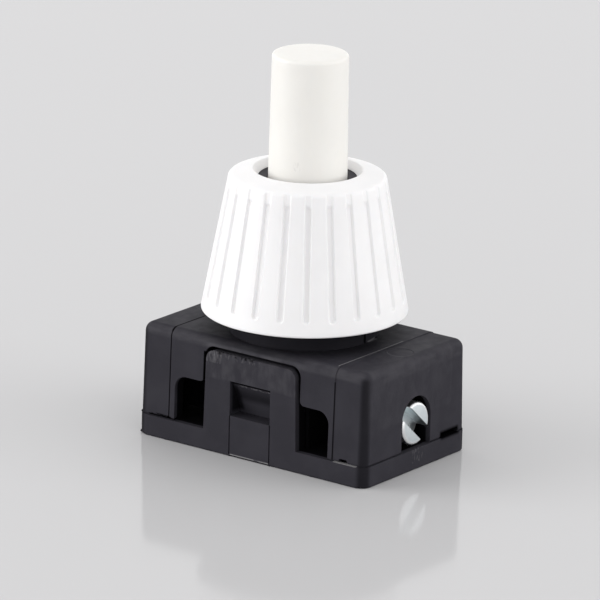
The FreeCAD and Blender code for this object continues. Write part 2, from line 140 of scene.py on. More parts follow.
def corner_arc(before: Array, corner: Array, after: Array, radius: float, steps: int) -> Array:
    """Rounds one corner of a flat outline with an arc tangent to both of its sides.

    The arc's centre lies on the line that halves the corner, radius / sin(half angle) away,
    and its points turn evenly from one tangent point to the other.

    Args:
        before: the outline's point before the corner (2,).
        corner: the corner (2,).
        after: the point after it (2,).
        radius: the arc's radius.
        steps: how many spans the arc has.

    Returns:
        The arc's points (steps + 1, 2), in the outline's order.
    """
    inward = (before - corner) / np.linalg.norm(before - corner)
    onward = (after - corner) / np.linalg.norm(after - corner)
    half = math.acos(float(np.clip(inward @ onward, -1, 1))) / 2
    middle = (inward + onward) / np.linalg.norm(inward + onward)
    centre = corner + middle * radius / math.sin(half)
    start = corner + inward * radius / math.tan(half) - centre
    stop = corner + onward * radius / math.tan(half) - centre
    sweep = math.pi - 2 * half
    share = np.linspace(0, 1, steps + 1)[:, None]
    return centre + (np.sin((1 - share) * sweep) * start + np.sin(share * sweep) * stop) / math.sin(sweep)


def thread_cut(turn: Array, along: Array, pitch: float) -> Array:
    """How deep a single-start thread is cut, from 0 on its crest to 1 at its root.

    The phase is along / pitch less the share of a turn, and the cut is a V over it whose crest
    and root are clipped flat.

    Args:
        turn: angle about the thread's axis.
        along: distance along that axis.
        pitch: rise of one turn.

    Returns:
        The share of the full depth.
    """
    phase = (along / pitch - turn / TURN) % 1.0
    return np.clip(THREAD_SLOPE * (0.5 - np.abs(phase - 0.5)) - THREAD_FLAT, 0, 1)


class Surface:
    """A mesh in the making: points in millimetres, and faces that number them."""

    def __init__(self) -> None:
        """Starts with no points."""
        self.points: list[Array] = []
        self.faces: list[Array] = []
        self.count = 0

    def add(self, xyz: Array) -> Array:
        """Takes in points.

        Args:
            xyz: points (..., 3).

        Returns:
            Their numbers, laid out as the points were (...).
        """
        flat = np.asarray(xyz, float).reshape(-1, 3)
        numbers = np.arange(self.count, self.count + len(flat)).reshape(np.shape(xyz)[:-1])
        self.points.append(flat)
        self.count += len(flat)
        return numbers

    def grid(self, ids: Array, wrap: bool = True) -> None:
        """Joins neighbouring rows and columns of points with quads.

        Args:
            ids: point numbers (rows, columns).
            wrap: whether the last column meets the first one.
        """
        if wrap:
            ids = np.concatenate([ids, ids[:, :1]], axis=1)
        quads = np.stack([ids[:-1, :-1], ids[:-1, 1:], ids[1:, 1:], ids[1:, :-1]], axis=-1)
        self.faces.append(quads.reshape(-1, 4))

    def thin_out(self, fine: Array, coarse: Array) -> None:
        """Joins a ring to one with fewer points, which stand opposite every few of its own.

        Args:
            fine: point numbers of the finer ring.
            coarse: point numbers of the other, whose count divides the finer one's.
        """
        step = len(fine) // len(coarse)
        first = np.arange(len(coarse))[:, None] * step
        spans = np.concatenate([fine, fine[:1]])[first + np.arange(step + 1)]
        face = np.concatenate([spans, np.roll(coarse, -1)[:, None], coarse[:, None]], axis=1)
        self.faces.append(face)

    def lace(self, ring_a: Array, turn_a: Array, ring_b: Array, turn_b: Array) -> None:
        """Fills the band between two rings of unlike counts with triangles.

        Both rings start near turn 0. Each span of one ring makes a triangle with the point that
        the other ring has reached when the span's middle comes up.

        Args:
            ring_a: point numbers of one ring.
            turn_a: its points' angles.
            ring_b: point numbers of the other ring.
            turn_b: its points' angles.
        """
        order_a = np.argsort(turn_a % TURN)
        order_b = np.argsort(turn_b % TURN)
        a, at_a = ring_a[order_a], (turn_a % TURN)[order_a]
        b, at_b = ring_b[order_b], (turn_b % TURN)[order_b]
        middle_a = at_a + (np.roll(at_a, -1) - at_a) % TURN / 2
        middle_b = at_b + (np.roll(at_b, -1) - at_b) % TURN / 2
        near_b = b[np.searchsorted(middle_b, middle_a) % len(b)]
        near_a = a[np.searchsorted(middle_a, middle_b) % len(a)]
        self.faces.append(np.stack([a, np.roll(a, -1), near_b], axis=-1))
        self.faces.append(np.stack([b, near_a, np.roll(b, -1)], axis=-1))

    def fan(self, ring: Array, pole: int) -> None:
        """Closes a ring with triangles that meet in one point."""
        poles = np.full(len(ring), pole)
        self.faces.append(np.stack([ring, np.roll(ring, -1), poles], axis=-1))

    def cover(self, ring: Array) -> None:
        """Closes a flat ring with one face."""
        self.faces.append(ring.reshape(1, -1))

    def take_node(self, node: str) -> tuple[Array, Array, Array]:
        """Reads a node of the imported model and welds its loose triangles.

        Points that share a place, to a ten-thousandth of a millimetre, become one.

        Args:
            node: the node's name.

        Returns:
            The new point numbers (n,), the points (n, 3), and the triangles (m, 3).
        """
        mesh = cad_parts[node].data
        loose = np.empty(len(mesh.vertices) * 3)
        mesh.vertices.foreach_get("co", loose)
        mesh.calc_loop_triangles()
        corners = np.empty(len(mesh.loop_triangles) * 3, int)
        mesh.loop_triangles.foreach_get("vertices", corners)
        places = np.round(loose.reshape(-1, 3) / MM, WELD_DIGITS)
        points, welded = np.unique(places, axis=0, return_inverse=True)
        triangles = welded.reshape(-1)[corners].reshape(-1, 3)
        flat = (triangles == np.roll(triangles, 1, axis=1)).any(axis=1)
        ids = self.add(points)
        return ids, points, ids[triangles[~flat]]

    def make(self, name: str, weigh: bool = False) -> bpy.types.Object:
        """Turns the surface into an object whose faces point outward.

        Args:
            name: the object's name.
            weigh: whether large faces rule the shading, as a welded node needs.

        Returns:
            The new object, in the scene's collection, with its place in its mesh.
        """
        mesh = bpy.data.meshes.new(name)
        points = np.concatenate(self.points) * MM
        faces = list(chain.from_iterable(block.tolist() for block in self.faces))
        mesh.from_pydata(points.tolist(), [], faces)
        shell = bmesh.new()
        shell.from_mesh(mesh)
        bmesh.ops.delete(shell, geom=[v for v in shell.verts if not v.link_faces], context="VERTS")
        bmesh.ops.recalc_face_normals(shell, faces=shell.faces)
        shell.to_mesh(mesh)
        shell.free()
        mesh.shade_smooth()
        mesh.set_sharp_from_angle(angle=SMOOTH_ANGLE)
        made = bpy.data.objects.new(name, mesh)
        bpy.context.scene.collection.objects.link(made)
        if weigh:
            modifier = made.modifiers.new("weighted", "WEIGHTED_NORMAL")
            modifier.keep_sharp = True
            modifier.weight = 100
        return made


def seat(piece: bpy.types.Object, finishes: Finishes, body: Body, slot: Slot, *nodes: str) -> None:
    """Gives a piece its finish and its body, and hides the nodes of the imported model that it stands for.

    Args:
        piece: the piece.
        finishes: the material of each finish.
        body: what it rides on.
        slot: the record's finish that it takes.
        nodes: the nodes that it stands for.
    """
    piece.data.materials.append(finishes[slot])
    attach(piece, body.value)
    if nodes:
        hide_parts(*nodes)
    log.info("%s: %d faces, rides on %s", piece.name, len(piece.data.polygons), body.value)


class Shader:
    """Adds nodes to one material and joins them. Patterns read Object coordinates in metres."""

    def __init__(self, name: str) -> None:
        """Starts a material with a Principled shader and its output.

        Args:
            name: the material's name.
        """
        self.material = bpy.data.materials.new(name)
        self.material.use_nodes = True
        self.tree = self.material.node_tree
        self.tree.nodes.clear()
        output = self.add("ShaderNodeOutputMaterial")
        self.shader = self.add("ShaderNodeBsdfPrincipled")
        self.tree.links.new(self.shader.outputs["BSDF"], output.inputs["Surface"])
        self.place = self.add("ShaderNodeTexCoord").outputs["Object"]

    def add(self, kind: str) -> bpy.types.Node:
        """A new node of that kind."""
        return self.tree.nodes.new(kind)

    def feed(self, socket: Output, value: object) -> None:
        """Sets a socket to a number or colour, or joins another node's output to it.

        Args:
            socket: the input.
            value: a number, a colour or an output.
        """
        if isinstance(value, Output):
            self.tree.links.new(value, socket)
        else:
            socket.default_value = value

    def set(self, name: str, value: object) -> None:
        """Sets or joins one input of the Principled shader."""
        self.feed(self.shader.inputs[name], value)

    def calc(self, operation: str, a: object, b: object = 0.0) -> Output:
        """A Math node over two numbers or outputs.

        Args:
            operation: Blender's name for what is done.
            a: the first value.
            b: the second one.

        Returns:
            The node's output.
        """
        node = self.add("ShaderNodeMath")
        node.operation = operation
        self.feed(node.inputs[0], a)
        self.feed(node.inputs[1], b)
        return node.outputs[0]

    def times(self, a: object, b: object) -> Output:
        """One value times another."""
        return self.calc("MULTIPLY", a, b)

    def less(self, a: object, b: object) -> Output:
        """One value less another."""
        return self.calc("SUBTRACT", a, b)

    def length(self, a: object, b: object) -> Output:
        """The length of a flat step: the root of a^2 + b^2."""
        return self.calc("SQRT", self.calc("ADD", self.times(a, a), self.times(b, b)))

    def step(self, value: object, low: float, high: float, start: float = 0.0, stop: float = 1.0) -> Output:
        """A soft step of a value.

        Args:
            value: what is stepped.
            low: where the step starts.
            high: where it ends.
            start: the result up to low.
            stop: the result from high on.

        Returns:
            The step's output.
        """
        node = self.add("ShaderNodeMapRange")
        node.interpolation_type = "SMOOTHSTEP"
        for index, part in enumerate((value, low, high, start, stop)):
            self.feed(node.inputs[index], part)
        return node.outputs[0]

    def stretched(self, scale: Place) -> Output:
        """The Object coordinates, scaled along each axis.

        Args:
            scale: the factor of each axis.

        Returns:
            The scaled coordinates' output.
        """
        node = self.add("ShaderNodeMapping")
        self.feed(node.inputs["Vector"], self.place)
        node.inputs["Scale"].default_value = scale
        return node.outputs[0]

    def noise(self, size: float, detail: float = COARSE, stretch: Place = (1, 1, 1)) -> Output:
        """A noise whose patches are about size millimetres across.

        Args:
            size: the patches' size.
            detail: how many finer layers it has.
            stretch: per axis, below 1 for patches that are longer along it.

        Returns:
            The noise's output.
        """
        node = self.add("ShaderNodeTexNoise")
        self.feed(node.inputs["Vector"], self.stretched(stretch))
        node.inputs["Scale"].default_value = 1 / (size * MM)
        node.inputs["Detail"].default_value = detail
        return node.outputs[0]

    def patches(self, size: float, detail: float, edges: tuple[float, float], start: float = 0.0,
                stop: float = 1.0) -> Output:
        """A noise stepped into soft patches.

        Args:
            size: the patches' size.
            detail: how many finer layers the noise has.
            edges: the noise's values at which a patch starts and is full.
            start: the result between patches.
            stop: the result on them.

        Returns:
            The patches' output.
        """
        return self.step(self.noise(size, detail), *edges, start, stop)

    def mix(self, share: object, a: object, b: object) -> Output:
        """A blend of two colours.

        Args:
            share: how much of the second one.
            a: the first colour.
            b: the second one.

        Returns:
            The blend's output.
        """
        node = self.add("ShaderNodeMix")
        node.data_type = "RGBA"
        self.feed(node.inputs[0], share)
        self.feed(node.inputs[6], a)
        self.feed(node.inputs[7], b)
        return node.outputs[2]

    def axes(self) -> tuple[Output, ...]:
        """The Object coordinates x, y and z, in metres."""
        node = self.add("ShaderNodeSeparateXYZ")
        self.feed(node.inputs[0], self.place)
        return tuple(node.outputs)

    def zone(self, low: Place, high: Place, soft: float) -> Output:
        """A mask that is 1 inside a box and fades out over its last stretch.

        Args:
            low: the box's lowest corner, in millimetres.
            high: its highest corner.
            soft: how wide the fade is.

        Returns:
            The mask's output.
        """
        mask: object = 1.0
        for axis, a, b in zip(self.axes(), low, high):
            far = self.calc("ABSOLUTE", self.less(axis, (a + b) / 2 * MM))
            edge = self.step(far, ((b - a) / 2 - soft) * MM, (b - a) / 2 * MM, 1.0, 0.0)
            mask = self.times(mask, edge)
        return mask

    def relief(self, height: object, depth: float, base: object = None) -> Output:
        """A bump in the surface.

        Args:
            height: the bump's height, from 0 to 1.
            depth: what a height of 1 stands for, in millimetres.
            base: the normal that it is laid on, if any.

        Returns:
            The bumped normal's output.
        """
        node = self.add("ShaderNodeBump")
        node.inputs["Strength"].default_value = 1.0
        node.inputs["Distance"].default_value = depth * MM
        self.feed(node.inputs["Height"], height)
        if base is not None:
            self.feed(node.inputs["Normal"], base)
        return node.outputs[0]

    def soft_edges(self, radius: float) -> Output:
        """A normal that rounds the sharp edges.

        Args:
            radius: the rounding, in millimetres.

        Returns:
            The normal's output.
        """
        node = self.add("ShaderNodeBevel")
        node.samples = EDGE_SAMPLES
        node.inputs["Radius"].default_value = radius * MM
        return node.outputs[0]


class Tone(Enum):
    """How pale or dark a mark is, and how far it stands out, in heights of the grain."""

    # Scuffs, and painted sheen, light and glints
    PALE = 3.0
    # Stress whitening, and a painted highlight along a step
    WHITENING_AND_HIGHLIGHT = 2.0
    # Painted shade
    SHADE = 0.0
    # On the black moulding painted shade in gaps and notches; on the button a scuff
    DARK = -4.0


@dataclass(frozen=True)
class Mark:
    """A place of wear, a fine line, painted shade, or painted light: a box in millimetres, filled evenly or
    with broken marks.
    """

    low: Place
    high: Place
    tone: Tone
    share: float
    size: float = 0.0
    stretch: Place = (1, 1, 1)
    cover: float = 0.55
    blur: float = 0.12

    def mask(self, ink: Shader) -> Output:
        """Where the mark is: its box, faded over a third of its thinnest side, times a stepped noise.

        Args:
            ink: the material that the mark goes into.

        Returns:
            The mask's output.
        """
        fade = min(b - a for a, b in zip(self.low, self.high)) / 3
        place = ink.zone(self.low, self.high, fade)
        if not self.size:
            return place
        marks = ink.step(ink.noise(self.size, MEDIUM, self.stretch), self.cover, self.cover + self.blur)
        return ink.times(marks, place)


@dataclass(frozen=True)
class BlackMoulding:
    """Charcoal moulded plastic with a fine grain, faint clouding, the scuffs of handling, and painted shade,
    sheen and highlights.
    """

    name: str = "black_moulding"
    colour: Colour = (0.0312, 0.0298, 0.0366, 1)
    clouded: Colour = (0.0362, 0.0347, 0.0421, 1)
    # Colour of pale scuffs, and of painted sheen, light and glints
    scuff_and_highlight: Colour = (0.17, 0.165, 0.175, 1)
    # Colour of stress whitening, and of a painted highlight along a step
    whitening_and_highlight: Colour = (0.50, 0.49, 0.49, 1)
    # Colour of painted shade
    shade: Colour = (0.0015, 0.0014, 0.0017, 1)
    cloud_size: float = 2.6
    roughness: tuple[float, float] = (0.50, 0.60)
    rough_size: float = 0.9
    ior: float = 1.5
    gloss: float = 0.06
    grain: float = 0.11
    grain_height: float = 0.008
    edge: float = 0.06
    marks: tuple[Mark, ...] = ()
    # Where painted shade goes: the inside of the housing less the windows, and the boss and roof under the
    # cap
    inside: tuple[Place, ...] = ((-12.35, -7.50, 1.7), (12.35, 7.50, 9.6))
    inside_soft: float = 0.2
    inside_share: float = 0.92
    window: tuple[Place, ...] = ((-2.5, -8.3, 3.7), (2.5, 8.3, 7.3))
    boss_r: float = 6.9
    shade_r: float = 10.5
    cap_share: float = 0.54
    cap_span: tuple[float, float] = (10.3, 12.6)
    cap_soft: float = 0.3
    pin_x: float = 10.8
    pin_r: float = 1.25
    pin_line: float = 0.12
    pin_depth: float = 0.05

    def material(self) -> Material:
        """Builds the finish: clouded colour, paler scuffs, painted shade that also takes away gloss, painted
        sheen and highlights, and grain over softened edges.

        Returns:
            The material.
        """
        ink = Shader(self.name)
        colour = ink.mix(ink.patches(self.cloud_size, MEDIUM, CLOUDS), self.colour, self.clouded)
        height = ink.noise(self.grain, COARSE)
        lit: object = self.gloss
        # Marks: scuffs and lines, painted shade, painted sheen and highlights; painted shade also takes away
        # gloss
        for mark in self.marks:
            mask = mark.mask(ink)
            share = ink.times(mask, mark.share)
            colour = ink.mix(share, colour, self.tint(mark.tone))
            height = ink.calc("ADD", height, ink.times(mask, mark.tone.value))
            if mark.tone in (Tone.DARK, Tone.SHADE):
                lit = ink.times(lit, ink.less(1.0, share))
        # Painted shade inside the housing and on the boss and roof under the cap: its colour, and its loss of
        # gloss
        hidden = self.hidden(ink)
        normal = ink.relief(height, self.grain_height, ink.soft_edges(self.edge))
        ink.set("Base Color", ink.mix(hidden, colour, self.shade))
        ink.set("Roughness", ink.patches(self.rough_size, FINE, EVEN, *self.roughness))
        ink.set("IOR", self.ior)
        ink.set("Specular IOR Level", ink.times(lit, ink.less(1.0, hidden)))
        ink.set("Normal", ink.relief(self.pin_height(ink), self.pin_depth, normal))
        return ink.material

    def tint(self, tone: Tone) -> Colour:
        """The colour of a mark of that tone."""
        # Pale marks take the colour of scuffs and painted sheen, whitening marks that of whitening and a
        # painted highlight, the rest that of painted shade
        return {Tone.PALE: self.scuff_and_highlight, Tone.WHITENING_AND_HIGHLIGHT: self.whitening_and_highlight}.get(tone, self.shade)

    def hidden(self, ink: Shader) -> Output:
        """How deep a place lies in shade: inside the housing, or on the boss and roof under the cap.

        The inside is a box without the windows' span. Under the cap the shade is full on the
        boss and fades over the roof with the distance from the neck's axis.

        Args:
            ink: the material that it goes into.

        Returns:
            The shade's output, from 0 to 1.
        """
        inner = ink.times(ink.zone(*self.inside, self.inside_soft), self.inside_share)
        inner = ink.times(inner, ink.less(1.0, ink.zone(*self.window, self.inside_soft)))
        x, y, z = ink.axes()
        near = ink.step(ink.length(x, y), self.boss_r * MM, self.shade_r * MM, self.cap_share, 0.0)
        low, high = self.cap_span
        above = ink.step(z, (low - self.cap_soft) * MM, low * MM)
        below = ink.step(z, high * MM, (high + self.cap_soft) * MM, 1.0, 0.0)
        return ink.calc("MAXIMUM", inner, ink.times(near, ink.times(above, below)))

    def pin_height(self, ink: Shader) -> Output:
        """The ring that an ejector pin leaves on the roof near each end: a dip inside a thin line.

        Args:
            ink: the material that it goes into.

        Returns:
            The height's output, 0 inside the ring and 1 outside.
        """
        x, y, _ = ink.axes()
        far = ink.length(ink.less(ink.calc("ABSOLUTE", x), self.pin_x * MM), y)
        return ink.step(far, (self.pin_r - self.pin_line) * MM, self.pin_r * MM)


@dataclass(frozen=True)
class PaleMoulding:
    """Light moulded plastic that glows a little: a satin skin over a soft body."""

    name: str
    colour: Colour
    clouded: Colour
    roughness: tuple[float, float]
    cloud_size: float = 3.5
    rough_size: float = 0.7
    ior: float = 1.48
    glow: float = 0.12
    glow_reach: Place = (1.0, 0.9, 0.8)
    glow_depth: float = 0.6
    grain: float = 0.25
    grain_height: float = 0.002
    marks: tuple[Mark, ...] = ()
    marked: Colour = (0.45, 0.44, 0.42, 1)

    def material(self) -> Material:
        """Builds the finish: faint clouding, light under the skin, and a very fine grain.

        Returns:
            The material.
        """
        ink = Shader(self.name)
        colour = ink.mix(ink.patches(self.cloud_size, MEDIUM, CLOUDS), self.colour, self.clouded)
        height = ink.noise(self.grain, MEDIUM)
        for mark in self.marks:
            mask = mark.mask(ink)
            colour = ink.mix(ink.times(mask, mark.share), colour, self.marked)
            height = ink.calc("ADD", height, ink.times(mask, mark.tone.value))
        ink.set("Base Color", colour)
        ink.set("Roughness", ink.patches(self.rough_size, FINE, EVEN, *self.roughness))
        ink.set("IOR", self.ior)
        ink.set("Subsurface Weight", self.glow)
        ink.set("Subsurface Radius", self.glow_reach)
        ink.set("Subsurface Scale", self.glow_depth * MM)
        ink.set("Normal", ink.relief(height, self.grain_height))
        return ink.material


@dataclass(frozen=True)
class Metal:
    """Plated, drawn or stamped metal with fine marks along one direction and a mottled skin."""

    name: str
    colour: Colour
    dulled: Colour
    roughness: tuple[float, float]
    mottle_size: float = 0.8
    rough_size: float = 0.35
    mark_size: float = 0.12
    mark_stretch: Place = (1, 1, 0.15)
    mark_height: float = 0.003
    edge: float = 0.03
    # A painted highlight near a screw head's rim: the rim's radius, the axis's height and the highlight's
    # width
    rim_r: float = 0.0
    rim_z: float = 4.3
    rim_width: float = 0.34
    # Colour of the painted highlight near the rim
    highlight_colour: Colour = (0.97, 0.98, 0.985, 1)

    def material(self) -> Material:
        """Builds the finish: mottled tone, a painted highlight near a screw head's rim where rim_r is set,
        uneven gloss, fine marks and softened edges.

        Returns:
            The material.
        """
        ink = Shader(self.name)
        colour = ink.mix(ink.patches(self.mottle_size, FINE, CLOUDS), self.colour, self.dulled)
        # Painted highlight near the head's rim
        if self.rim_r:
            colour = ink.mix(self.rim_highlight(ink), colour, self.highlight_colour)
        ink.set("Base Color", colour)
        ink.set("Metallic", 1.0)
        ink.set("Roughness", ink.patches(self.rough_size, MEDIUM, EVEN, *self.roughness))
        marks = ink.noise(self.mark_size, COARSE, self.mark_stretch)
        edges = ink.soft_edges(self.edge) if self.edge else None
        ink.set("Normal", ink.relief(marks, self.mark_height, edges))
        return ink.material

    def rim_highlight(self, ink: Shader) -> Output:
        """How much painted highlight a place near a head's rim gets, by its distance from the screws' own
        axis.

        Args:
            ink: the material that it goes into.

        Returns:
            The share's output.
        """
        _, y, z = ink.axes()
        far = ink.length(y, ink.less(z, self.rim_z * MM))
        return ink.step(far, (self.rim_r - self.rim_width) * MM, self.rim_r * MM)


@dataclass(frozen=True)
class StudioFloor:
    """The pale, softly glossy sheet that the switch stands on."""

    name: str = "studio_floor"
    colour: Colour = (0.595, 0.592, 0.596, 1)
    roughness: tuple[float, float] = (0.081, 0.099)
    rough_size: float = 40.0
    ior: float = 1.2

    def material(self) -> Material:
        """Builds the finish: a plain pale body under a smooth skin, very slightly uneven.

        Returns:
            The material.
        """
        ink = Shader(self.name)
        ink.set("Base Color", self.colour)
        ink.set("Roughness", ink.patches(self.rough_size, COARSE, EVEN, *self.roughness))
        ink.set("IOR", self.ior)
        return ink.material


BLACK_MARKS = (
    # Scratches at the arm's corner, its chewed top edge, and painted shade in the notches along that edge
    Mark((-5.05, -8.1, 8.4), (-3.2, -7.6, 9.7), Tone.PALE, 0.42, 0.08, (1.0, 1.0, 0.12), 0.46),
    Mark((-4.6, -8.1, 9.0), (1.4, -7.0, 9.60), Tone.PALE, 0.32, 0.20, (1.0, 1.0, 0.5), 0.52),
    Mark((-3.8, -8.1, 9.28), (0.4, -7.5, 9.80), Tone.DARK, 1.00, 0.42, (1.0, 1.0, 0.3), 0.49),
    # Faint haze of wear on the arm, and painted sheen on the end above the screw
    Mark((-5.4, -8.3, 6.9), (5.4, -7.3, 10.3), Tone.PALE, 0.125, 0.9, (1.0, 1.0, 0.5), 0.30, 0.4),
    Mark((12.0, -7.6, 4.8), (13.2, 5.5, 11.8), Tone.PALE, 0.045, 1.4, (1.0, 1.0, 0.6), 0.25, 0.4),
    # Painted light on the neck's end, seen in the cap's hole
    Mark((-5.2, -5.2, 24.3), (5.2, 5.2, 25.3), Tone.PALE, 0.24),
    # Painted sheen, broken into patches, along the top edges of the long sides and the ends
    Mark((11.7, -7.0, 9.0), (13.2, 7.0, 10.75), Tone.PALE, 0.11, 0.9, (1.0, 0.4, 1.0), 0.22, 0.5),
    Mark((-13.2, -7.0, 9.0), (-11.7, 7.0, 10.75), Tone.PALE, 0.11, 0.9, (1.0, 0.4, 1.0), 0.22, 0.5),
    Mark((-12.4, -8.0, 9.45), (12.4, -6.85, 10.75), Tone.PALE, 0.15, 0.8, (0.4, 1.0, 1.0), 0.22, 0.5),
    Mark((-12.4, 6.85, 9.45), (12.4, 8.0, 10.75), Tone.PALE, 0.15, 0.8, (0.4, 1.0, 1.0), 0.22, 0.5),
    # Torn edge under the window's ledge, and the nose that lies in its shade
    Mark((-1.9, -7.9, 6.62), (2.1, -7.3, 6.86), Tone.PALE, 0.55, 0.16, (0.7, 1.0, 1.0), 0.46),
    Mark((-2.3, -7.9, 6.78), (2.3, 7.9, 7.20), Tone.SHADE, 0.95),
    Mark((-2.3, -7.9, 4.9), (2.3, 7.9, 7.3), Tone.SHADE, 0.58),
    Mark((-2.9, -7.85, 3.9), (-1.4, 7.85, 7.6), Tone.SHADE, 0.80),
    # Foot of the window's panel: a pale broken line, and painted shade where it meets the floor
    Mark((-2.15, -8.1, 0.15), (2.2, -7.8, 0.30), Tone.WHITENING_AND_HIGHLIGHT, 0.36, 1.2, (1.0, 1.0, 1.0), 0.36),
    Mark((-2.30, -8.1, -0.1), (2.3, -7.8, 0.15), Tone.DARK, 0.85),
    # Shade of the gap beside the arm
    Mark((-5.58, -8.1, 5.9), (-5.24, -7.3, 9.3), Tone.SHADE, 1.00),
    # Lines that the mould's inserts leave near both ends, drawn as painted shade, with a painted highlight
    # along the step on the right roof
    Mark((-9.38, -8.1, 2.05), (-9.16, 8.1, 10.8), Tone.SHADE, 0.95),
    Mark((-9.46, -7.7, 10.2), (-9.10, 8.1, 11.0), Tone.SHADE, 1.00),
    Mark((9.08, -8.1, 2.05), (9.24, -7.35, 9.3), Tone.SHADE, 0.80),
    Mark((8.98, -7.0, 10.55), (9.10, 2.8, 10.8), Tone.WHITENING_AND_HIGHLIGHT, 0.36, 2.0, (1.0, 0.4, 1.0), 0.30),
    # Parting line: torn open on the left, with painted shade in the gap, and whitening on the right
    Mark((-11.6, -8.1, 1.98), (-8.2, -7.3, 2.22), Tone.DARK, 0.98),
    Mark((-11.3, -8.1, 2.00), (-8.0, -7.3, 2.36), Tone.DARK, 0.98, 0.40, (0.5, 1.0, 1.6), 0.44),
    Mark((9.35, -8.1, 1.95), (11.9, -7.5, 2.04), Tone.WHITENING_AND_HIGHLIGHT, 0.36, 0.50, (0.3, 1.0, 1.0), 0.36),
    # Painted shade in the depth of the pry slots
    Mark((11.6, 3.55, 1.66), (13.2, 6.75, 2.80), Tone.SHADE, 1.00),
    Mark((-13.2, -6.75, 1.66), (-11.6, -3.55, 2.80), Tone.SHADE, 1.00),
    # Glint at the notch in the boss's foot, and scratches below the screw hole
    Mark((6.45, 0.4, 10.55), (6.95, 1.9, 10.80), Tone.PALE, 0.80),
    Mark((12.4, -0.8, 0.6), (13.0, 1.0, 2.2), Tone.PALE, 0.35, 0.16, (1.0, 1.0, 0.3), 0.53),
)
# Shade down the four upright corners
CORNER_X, CORNER_Y, CORNER_REACH = 12.48, 7.58, 0.70
CORNER_SHADES = tuple(
    Mark((x - CORNER_REACH, y - CORNER_REACH, -0.5), (x + CORNER_REACH, y + CORNER_REACH, 10.30),
         Tone.SHADE, 0.54)
    for x in (-CORNER_X, CORNER_X) for y in (-CORNER_Y, CORNER_Y)
)
# A small scuff low on the button
BUTTON_MARKS = (Mark((0.8, -3.9, 26.0), (1.8, -2.8, 27.3), Tone.DARK, 0.22, 0.14, (1.0, 1.0, 0.3), 0.52),)


def mixed_finishes() -> Finishes:
    """Mixes every finish of the switch, once, for all of its pieces to share."""
    kinds = {
        Slot.BLACK: BlackMoulding(marks=BLACK_MARKS + CORNER_SHADES),
        Slot.WHITE: PaleMoulding(
            "white_moulding", (0.903, 0.896, 0.898, 1), (0.882, 0.876, 0.878, 1), (0.38, 0.48)),
        Slot.CREAM: PaleMoulding(
            "cream_moulding", (0.872, 0.857, 0.817, 1), (0.854, 0.839, 0.799, 1), (0.34, 0.46),
            marks=BUTTON_MARKS),
        Slot.NATURAL: PaleMoulding(
            "natural_moulding", (0.72, 0.68, 0.56, 1), (0.68, 0.64, 0.52, 1), (0.36, 0.5)),
        Slot.ZINC: Metal(
            "bright_zinc", (0.85, 0.915, 0.93, 1), (0.79, 0.855, 0.875, 1), (0.30, 0.40),
            mark_size=0.9, mark_stretch=(1, 1, 1), mark_height=0.0015, edge=0.0, rim_r=1.90),
        Slot.BRASS: Metal("stamped_brass", (0.78, 0.58, 0.29, 1), (0.66, 0.47, 0.23, 1), (0.28, 0.42)),
        Slot.SILVER: Metal("contact_silver", (0.84, 0.83, 0.80, 1), (0.74, 0.73, 0.70, 1), (0.2, 0.34)),
        Slot.SPRING: Metal(
            "spring_wire", (0.58, 0.58, 0.59, 1), (0.48, 0.48, 0.50, 1), (0.24, 0.36), edge=0.01),
    }
    return {slot: kind.material() for slot, kind in kinds.items()}


